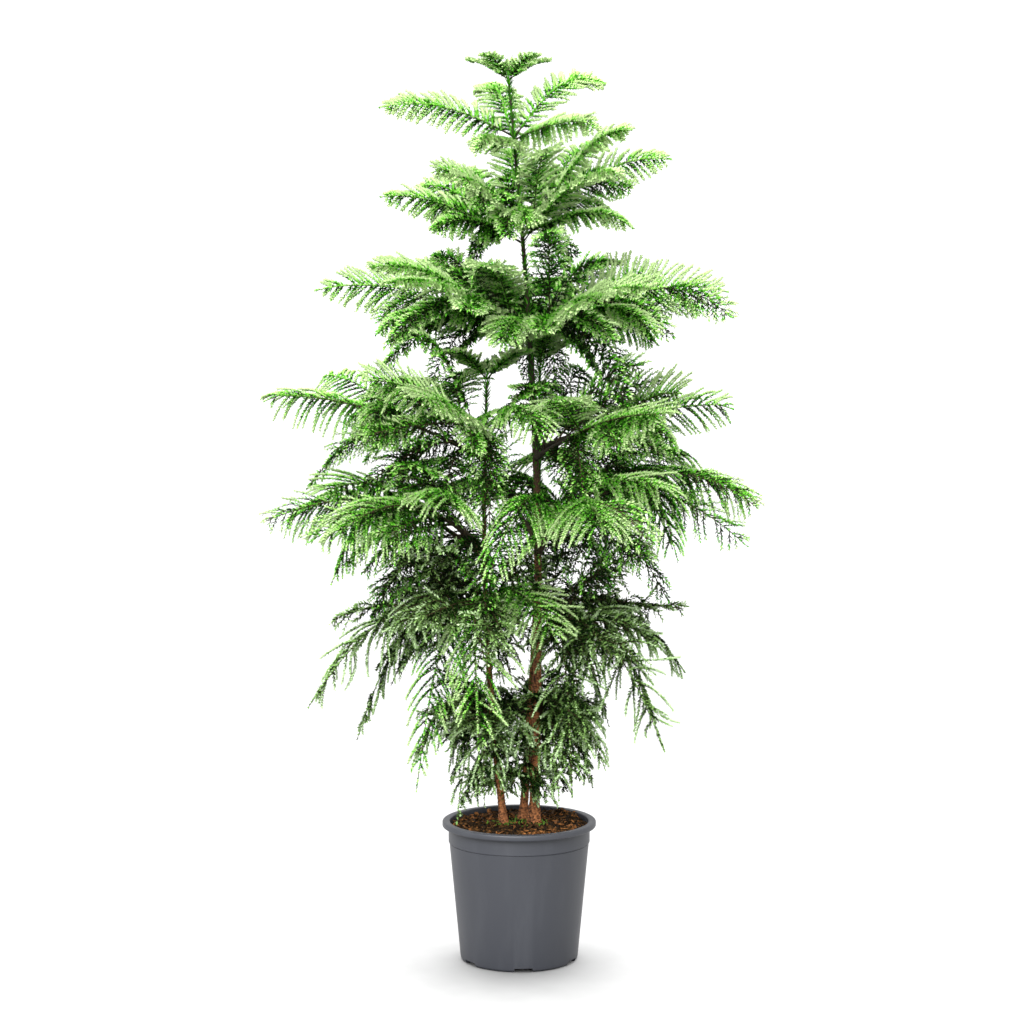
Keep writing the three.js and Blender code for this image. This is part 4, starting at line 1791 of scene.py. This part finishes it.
@dataclass
class SoilBed:
    """Loose potting soil with a crumbled surface, heaped up at one edge."""

    top: float = 213.0
    edge_top: float = 209.0
    level_radius: float = 62.0
    radius: float = 107.6
    depth: float = 12.0
    core: float = 1.0
    rings: int = 44
    segments: int = 130
    mound_azimuth: float = 42.0
    mound_height: float = 9.0
    mound_radius: float = 92.0
    mound_width: float = 26.0
    lump_height: float = 1.3
    coarse: Lumps = Lumps(1.0, 6.1, 1.3, 8.3, 5.3, 1.7, 7.1)
    fine: Lumps = Lumps(0.6, 2.9, 2.1, 3.7, 2.5, 1.1, 3.1)
    smooth_below: float = 50.0

    def surface(self, x: Array, y: Array) -> Array:
        """The soil's height, with its mound at the edge and its crumbled lumps.

        Args:
            x: Places across.
            y: Places in depth.

        Returns:
            The height at each place.
        """
        out = np.hypot(x, y)
        fall = np.clip((out - self.level_radius) / (self.radius - self.level_radius), 0.0, 1.0)
        mound_x, mound_y, _ = self.mound_radius * heading(math.radians(self.mound_azimuth))
        apart = np.hypot(x - mound_x, y - mound_y)
        mound = self.mound_height * np.exp(-(apart / self.mound_width) ** 2)
        lumps = self.coarse.at(x, y) + self.fine.at(x, y)
        return blend(self.top, self.edge_top, fall) + mound + self.lump_height * lumps

    def build(self) -> None:
        """Fills a circle inwards ring by ring, and lets the surface crumble."""
        bed = add_primitive(
            bpy.ops.mesh.primitive_circle_add, vertices=self.segments, radius=self.radius * MM,
            fill_type="NGON", location=(0.0, 0.0, (self.top - self.depth) * MM),
        )
        apply_place()
        edit_all()
        bpy.ops.mesh.extrude_region_move(TRANSFORM_OT_translate={"value": (0.0, 0.0, self.depth * MM)})
        width = (self.radius - self.core) / self.rings
        for _ in range(self.rings):
            bpy.ops.mesh.inset(thickness=width * MM, use_even_offset=False)
        bpy.ops.mesh.select_all(action="SELECT")
        bpy.ops.mesh.normals_make_consistent(inside=False)
        bpy.ops.object.mode_set(mode="OBJECT")
        places = vertex_places(bed) / MM
        is_top = places[:, 2] > self.top - 0.5 * self.depth
        places[is_top, 2] = self.surface(places[is_top, 0], places[is_top, 1])
        move_vertices(bed, places)
        make_active(bed)
        bpy.ops.object.shade_smooth_by_angle(angle=math.radians(self.smooth_below))
        settle(bed, "potting_soil", POTTING_SOIL.material())
        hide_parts("soil")


@dataclass
class BarkChips:
    """Split chips of bark in three browns, strewn over the soil.

    Length is the shape and scale of its spread above the shortest. Slimness is width by length. A pair for
    width or thickness is the least and what scatter adds.
    """

    CORNERS: ClassVar[int] = 8
    BOX: ClassVar[tuple[tuple[int, ...], ...]] = (
        (3, 2, 1, 0), (4, 5, 6, 7), (0, 1, 5, 4), (1, 2, 6, 5), (2, 3, 7, 6), (3, 0, 4, 7)
    )
    OUTLINE: ClassVar[tuple[tuple[int, int], ...]] = ((-1, -1), (1, -1), (1, 1), (-1, 1))

    bed: SoilBed
    count: int = 1500
    seed: int = 41
    edge_room: float = 4.0
    raised: float = 0.6
    shortest: float = 2.5
    length: tuple[float, float] = (4.0, 1.7)
    slimness: float = 0.22
    width: tuple[float, float] = (0.6, 1.3)
    thickness: tuple[float, float] = (0.8, 1.4)
    pitch: float = 0.35
    tilt: float = 0.35
    raggedness: tuple[float, float] = (-0.35, 0.25)
    shares: tuple[float, ...] = (0.45, 0.37, 0.18)

    def corners(self, draw: np.random.Generator) -> Array:
        """Strews the chips, each a ragged box that lies at its own slant.

        Args:
            draw: A seeded source of scatter.

        Returns:
            The places of the corners, by chip.
        """
        out = (self.bed.radius - self.edge_room) * np.sqrt(draw.random(self.count))
        azimuth = draw.random(self.count) * math.tau
        x, y = out * np.cos(azimuth), out * np.sin(azimuth)
        places = np.stack([x, y, self.bed.surface(x, y) + self.raised], axis=1)
        long = draw.gamma(*self.length, self.count) + self.shortest
        wide = self.slimness * long + self.width[1] * draw.random(self.count) + self.width[0]
        thick = self.thickness[0] + self.thickness[1] * draw.random(self.count)
        size = np.stack([long, wide, thick], axis=1)
        way = draw.random(self.count) * math.tau
        pitch = draw.normal(0.0, self.pitch, self.count)
        forward = np.stack(
            [np.cos(way) * np.cos(pitch), np.sin(way) * np.cos(pitch), np.sin(pitch)], axis=1
        )
        tilted = unit(UP + self.tilt * draw.normal(0.0, 1.0, (self.count, 3)))
        sideways = unit(np.cross(tilted, forward))
        above = np.cross(forward, sideways)
        signs = np.array([(a, b, c) for c in (-1, 1) for a, b in self.OUTLINE])
        ragged = 1.0 + draw.uniform(*self.raggedness, (self.count, self.CORNERS, 3))
        half = 0.5 * size[:, None] * signs * ragged
        return (
            places[:, None] + half[..., :1] * forward[:, None] + half[..., 1:2] * sideways[:, None]
            + half[..., 2:] * above[:, None]
        )

    def build(self) -> None:
        """Joins the chips of each brown into one piece."""
        draw = np.random.default_rng(self.seed)
        corners = self.corners(draw)
        shade = draw.choice(len(CHIP_FINISHES), self.count, p=self.shares)
        for i, (brown, finish) in enumerate(CHIP_FINISHES.items()):
            chosen = corners[shade == i]
            first = np.arange(len(chosen))[:, None, None] * self.CORNERS
            faces = (first + np.array(self.BOX)).reshape(-1, 4)
            name = f"bark_chips_{brown}"
            piece = object_from_arrays(name, chosen.reshape(-1, 3), [faces])
            settle(piece, name, finish.material())


@dataclass
class Moss:
    """Short leafy sprigs of moss round the feet of the stems."""

    bed: SoilBed
    stems: tuple[Stem, ...]
    count: int = 260
    seed: int = 57
    clearance: float = 1.5
    spread: tuple[float, float] = (1.6, 4.0)
    sunk: float = 0.5
    lean: float = 0.45
    lean_axes: tuple[float, float, float] = (1.0, 1.0, 0.2)
    shortest: float = 2.5
    taller: float = 4.0
    steps: tuple[float, ...] = (0.0, 0.5, 1.0)
    radii: tuple[float, ...] = (0.7, 1.2, 0.25)
    sides: int = 5

    def build(self) -> None:
        """Sets the sprigs and joins them into one piece."""
        draw = np.random.default_rng(self.seed)
        stem = draw.integers(0, len(self.stems), self.count)
        feet = np.array([s.foot for s in self.stems])[stem]
        stem_radius = np.array([s.radius for s in self.stems])[stem]
        reach = stem_radius * self.clearance + draw.gamma(*self.spread, self.count)
        azimuth = draw.random(self.count) * math.tau
        x = feet[:, 0] + reach * np.cos(azimuth)
        y = feet[:, 1] + reach * np.sin(azimuth)
        foot = np.stack([x, y, self.bed.surface(x, y) - self.sunk], axis=1)
        lean = draw.normal(0.0, self.lean, (self.count, 3)) * self.lean_axes + UP
        tall = self.shortest + self.taller * draw.random(self.count)
        step = np.array(self.steps)
        centres = foot[:, None] + (unit(lean) * tall[:, None])[:, None] * step[:, None]
        radii = np.tile(np.array(self.radii), (self.count, 1))
        piece = object_from_arrays("moss", *tubes(centres, radii, self.sides))
        settle(piece, "moss", MOSS.material())


# The studio

@dataclass(frozen=True)
class SoftLight:
    """A soft square light: its name, its place and side in metres, and its power in watts."""

    name: str
    place: tuple[float, float, float]
    side: float
    power: float


@dataclass
class Studio:
    """A pale floor, soft light from the front and above, and the camera at the photograph's angle."""

    pot: bpy.types.Object
    floor_side: float = 60.0
    camera_place: tuple[float, float, float] = (-0.0112, -3.4, 0.938)
    camera_aim: tuple[float, float, float] = (-0.0112, 0.0, 0.7)
    lens: float = 77.4
    sensor: float = 36.0
    sky_strength: float = 1.3
    lights: tuple[SoftLight, ...] = (
        SoftLight("Overhead light", (-0.2, -0.6, 3.2), 2.4, 190.0),
        SoftLight("Front light", (-0.8, -2.9, 2.5), 2.0, 270.0),
    )
    light_aim: tuple[float, float, float] = (0.0, 0.0, 0.75)
    floor_light: float = 3.8
    floor_light_width: float = 52.0
    floor_light_tilt: float = 18.0

    def aim(self, thing: bpy.types.Object, target: Sequence[float]) -> None:
        """Turns a light or camera so that it looks at a place."""
        way = Vector(target) - thing.location
        thing.rotation_euler = way.to_track_quat("-Z", "Y").to_euler()

    def light_plant(self, floor: bpy.types.Object) -> None:
        """Adds the soft lights that look at the crown and leave the floor out.

        Args:
            floor: The floor.
        """
        shaded = bpy.data.collections.new("Kept out of the lights")
        shaded.objects.link(floor)
        shaded.collection_objects[0].light_linking.link_state = "EXCLUDE"
        for soft in self.lights:
            light = add_primitive(bpy.ops.object.light_add, type="AREA", location=soft.place)
            light.name = soft.name
            light.data.size = soft.side
            light.data.energy = soft.power
            light.light_linking.receiver_collection = shaded
            self.aim(light, self.light_aim)

    def light_floor(self, floor: bpy.types.Object) -> None:
        """Adds soft light from above that falls on the floor alone, with the shadow of the pot.

        Args:
            floor: The floor.
        """
        tilt = -math.radians(self.floor_light_tilt)
        light = add_primitive(bpy.ops.object.light_add, type="SUN", rotation=(tilt, 0.0, 0.0))
        light.name = "Floor light"
        light.data.energy = self.floor_light
        light.data.angle = math.radians(self.floor_light_width)
        lit = bpy.data.collections.new("Lit by the floor light")
        lit.objects.link(floor)
        light.light_linking.receiver_collection = lit
        shading = bpy.data.collections.new("Shades the floor light")
        shading.objects.link(self.pot)
        light.light_linking.blocker_collection = shading

    def build(self) -> None:
        """Lays the floor, lights the scene and sets the camera."""
        scene = bpy.context.scene
        scene.view_settings.view_transform = "Standard"
        floor = add_primitive(bpy.ops.mesh.primitive_plane_add, size=self.floor_side)
        floor.name = "studio_floor"
        floor.data.materials.append(PALE_FLOOR.material())
        world = bpy.data.worlds.new("Studio sky")
        world.use_nodes = True
        background = world.node_tree.nodes["Background"]
        background.inputs["Color"].default_value = (1.0, 1.0, 1.0, 1.0)
        background.inputs["Strength"].default_value = self.sky_strength
        scene.world = world
        self.light_plant(floor)
        self.light_floor(floor)
        camera = add_primitive(bpy.ops.object.camera_add, location=self.camera_place)
        camera.data.lens = self.lens
        camera.data.sensor_width = self.sensor
        self.aim(camera, self.camera_aim)
        scene.camera = camera


# The plant's own numbers

FRESH_LADDER = (Tint.SHADE, Tint.DEEP, Tint.LEAF, Tint.FRESH, Tint.YOUNG)
OLD_LADDER = (Tint.SHADE, Tint.DUSK, Tint.OLD, Tint.OLD, Tint.PALE)
STEMS = (
    Stem(
        "main", foot=(23.0, -4.0), lean=(-39.0, 2.0), bow=(22.0, -4.0), tip=1356.0, radius=8.0,
        tip_radius=1.6, needles_from=560.0,
    ),
    Stem(
        "left", foot=(-24.0, -10.0), lean=(-26.0, 6.0), bow=(-15.0, -4.0), tip=900.0, radius=6.0,
        tip_radius=1.6, needles_from=235.0,
    ),
    Stem(
        "back", foot=(6.0, 24.0), lean=(26.0, 30.0), bow=(8.0, 8.0), tip=925.0, radius=6.5,
        tip_radius=1.6, needles_from=235.0,
    ),
)
BOTH = (Side.UNDER, Side.OVER)
TIERS = (
    Tier(
        level=1, height=375.0, count=5, turn=36.0, bough=False, forks=BOTH, hand=-1, spray=68.0, lift=-0.4,
        left=172.0, right=150.0, depth=150.0, rise=22.0, tilt=0.0, back=0.0, crest=0.4, droop=90.0,
        front=30.0, sag=55.0, face=10.0,
        habit=Habit(14.0, 0.1, 3.6, Blade(5.8, 3.1, 45.0), 1.12, 0.6, OLD_LADDER, fill=2.4, wild=1.0),
    ),
    Tier(
        level=2, height=525.0, count=6, turn=14.0, bough=False, forks=BOTH, hand=-1, spray=82.0, lift=-0.38,
        left=345.0, right=275.0, depth=276.0, rise=40.0, tilt=-0.4, back=0.0, crest=0.3, droop=125.0,
        front=95.0, sag=95.0, face=20.0,
        habit=Habit(14.0, 0.1, 4.2, Blade(5.8, 3.1, 45.0), 1.12, 0.62, OLD_LADDER, fill=1.4, wild=1.0),
    ),
    Tier(
        level=3, height=640.0, count=6, turn=-10.0, bough=True, forks=BOTH, hand=-1, spray=92.0, lift=-0.35,
        left=384.0, right=366.0, depth=360.0, rise=98.0, tilt=0.12, back=0.1, crest=0.6, droop=36.0,
        front=0.0, sag=96.0, face=42.0,
        habit=Habit(11.0, 0.04, 3.8, Blade(5.5, 2.9, 43.0), 1.08, 0.66, FRESH_LADDER, fill=0.9, wild=0.15),
    ),
    Tier(
        level=4, height=790.0, count=6, turn=8.0, bough=True, forks=BOTH, hand=1, spray=68.0, lift=-0.2,
        left=392.0, right=338.0, depth=345.0, rise=80.0, tilt=-0.2, back=0.15, crest=0.92, droop=8.0,
        front=0.0, sag=46.0, face=50.0,
        habit=Habit(10.0, 0.03, 5.5, Blade(5.5, 2.9, 43.0), 1.12, 0.66, FRESH_LADDER, fill=0.8, wild=0.1),
    ),
    Tier(
        level=5, height=975.0, count=6, turn=-8.0, bough=False, forks=BOTH, hand=-1, spray=58.0, lift=-0.12,
        left=306.0, right=324.0, depth=295.0, rise=70.0, tilt=-0.05, back=0.2, crest=0.8, droop=8.0,
        front=0.0, sag=38.0, face=44.0,
        habit=Habit(8.0, 0.02, 4.2, Blade(6.4, 3.2, 43.0), 1.22, 0.7, FRESH_LADDER, fill=0.8, wild=0.1),
    ),
    Tier(
        level=6, height=1122.0, count=6, turn=10.0, bough=False, forks=BOTH, hand=1, spray=48.0, lift=-0.1,
        left=215.0, right=232.0, depth=206.0, rise=98.0, tilt=0.2, back=0.3, crest=0.9, droop=2.0,
        front=20.0, sag=14.0, face=42.0,
        habit=Habit(7.8, 0.02, 3.6, Blade(6.4, 3.2, 43.0), 1.25, 0.71, FRESH_LADDER, fill=0.4, wild=0.1),
    ),
    Tier(
        level=7, height=1268.0, count=5, turn=36.0, bough=False, forks=(), hand=-1, spray=38.0, lift=-0.1,
        left=206.0, right=160.0, depth=150.0, rise=56.0, tilt=0.08, back=1.05, crest=0.75, droop=6.0,
        front=30.0, sag=0.0, face=48.0,
        habit=Habit(7.2, 0.01, 3.6, Blade(7.0, 3.1, 43.0), 1.5, 0.81, FRESH_LADDER, fill=0.0, wild=0.1),
    ),
)
TUFTS = {
    "main": Tuft(count=5, turn=20.0, length=66.0, rise=32.0),
    "left": Tuft(count=4, turn=50.0, length=86.0, rise=44.0),
    "back": Tuft(count=4, turn=10.0, length=82.0, rise=42.0),
}
TUFT_HABIT = Habit(7.2, 0.0, 2.4, Blade(6.0, 3.0, 43.0), 1.5, 0.7, FRESH_LADDER)
# The lower side frond takes darker tints and the upper one paler ones: painted shade and painted light.
FORKS = {
    Side.UNDER: Fork(
        fork=0.07, turn=29.0, reach=0.77, rise=0.3, from_fork=True, crest=0.7, droop=0.8, sag=1.0,
        lift=-0.15, tone=-0.1,
    ),
    Side.OVER: Fork(
        fork=0.1, turn=-27.0, reach=0.8, rise=1.3, from_fork=False, crest=1.0, droop=0.3, sag=0.0,
        lift=0.1, tone=0.04,
    ),
}
# The shoots nearest the stem take the lowest tones: painted shade for the crown's dark interior.
SHOOTS = (
    Shoot(share=0.07, turn=62.0, length=0.42, climb=0.28, tone=-0.42),
    Shoot(share=0.09, turn=-58.0, length=0.45, climb=-0.24, tone=-0.4),
    Shoot(share=0.13, turn=26.0, length=0.46, climb=-0.34, tone=-0.38),
    Shoot(share=0.17, turn=-24.0, length=0.44, climb=0.34, tone=-0.3),
    Shoot(share=0.3, turn=30.0, length=0.5, climb=-0.22, tone=-0.2),
    Shoot(share=0.36, turn=-32.0, length=0.46, climb=-0.06, tone=-0.12),
    Shoot(share=0.5, turn=24.0, length=0.38, climb=-0.12, tone=-0.06),
)


def main() -> None:
    """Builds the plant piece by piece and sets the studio."""
    logging.basicConfig(level=logging.INFO, format="%(message)s")
    pot = NurseryPot().build()
    bed = SoilBed()
    bed.build()
    BarkChips(bed).build()
    Moss(bed, STEMS).build()
    bark = STEM_BARK.material()
    for stem in STEMS:
        piece = settle(StemSkin(stem).build(), f"{stem.name}_stem", bark)
        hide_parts(f"stem_{stem.name}")
    Crown(STEMS, TIERS, TUFTS, TUFT_HABIT, FORKS, SHOOTS).build()
    Studio(pot).build()


if __name__ == "__main__":
    main()
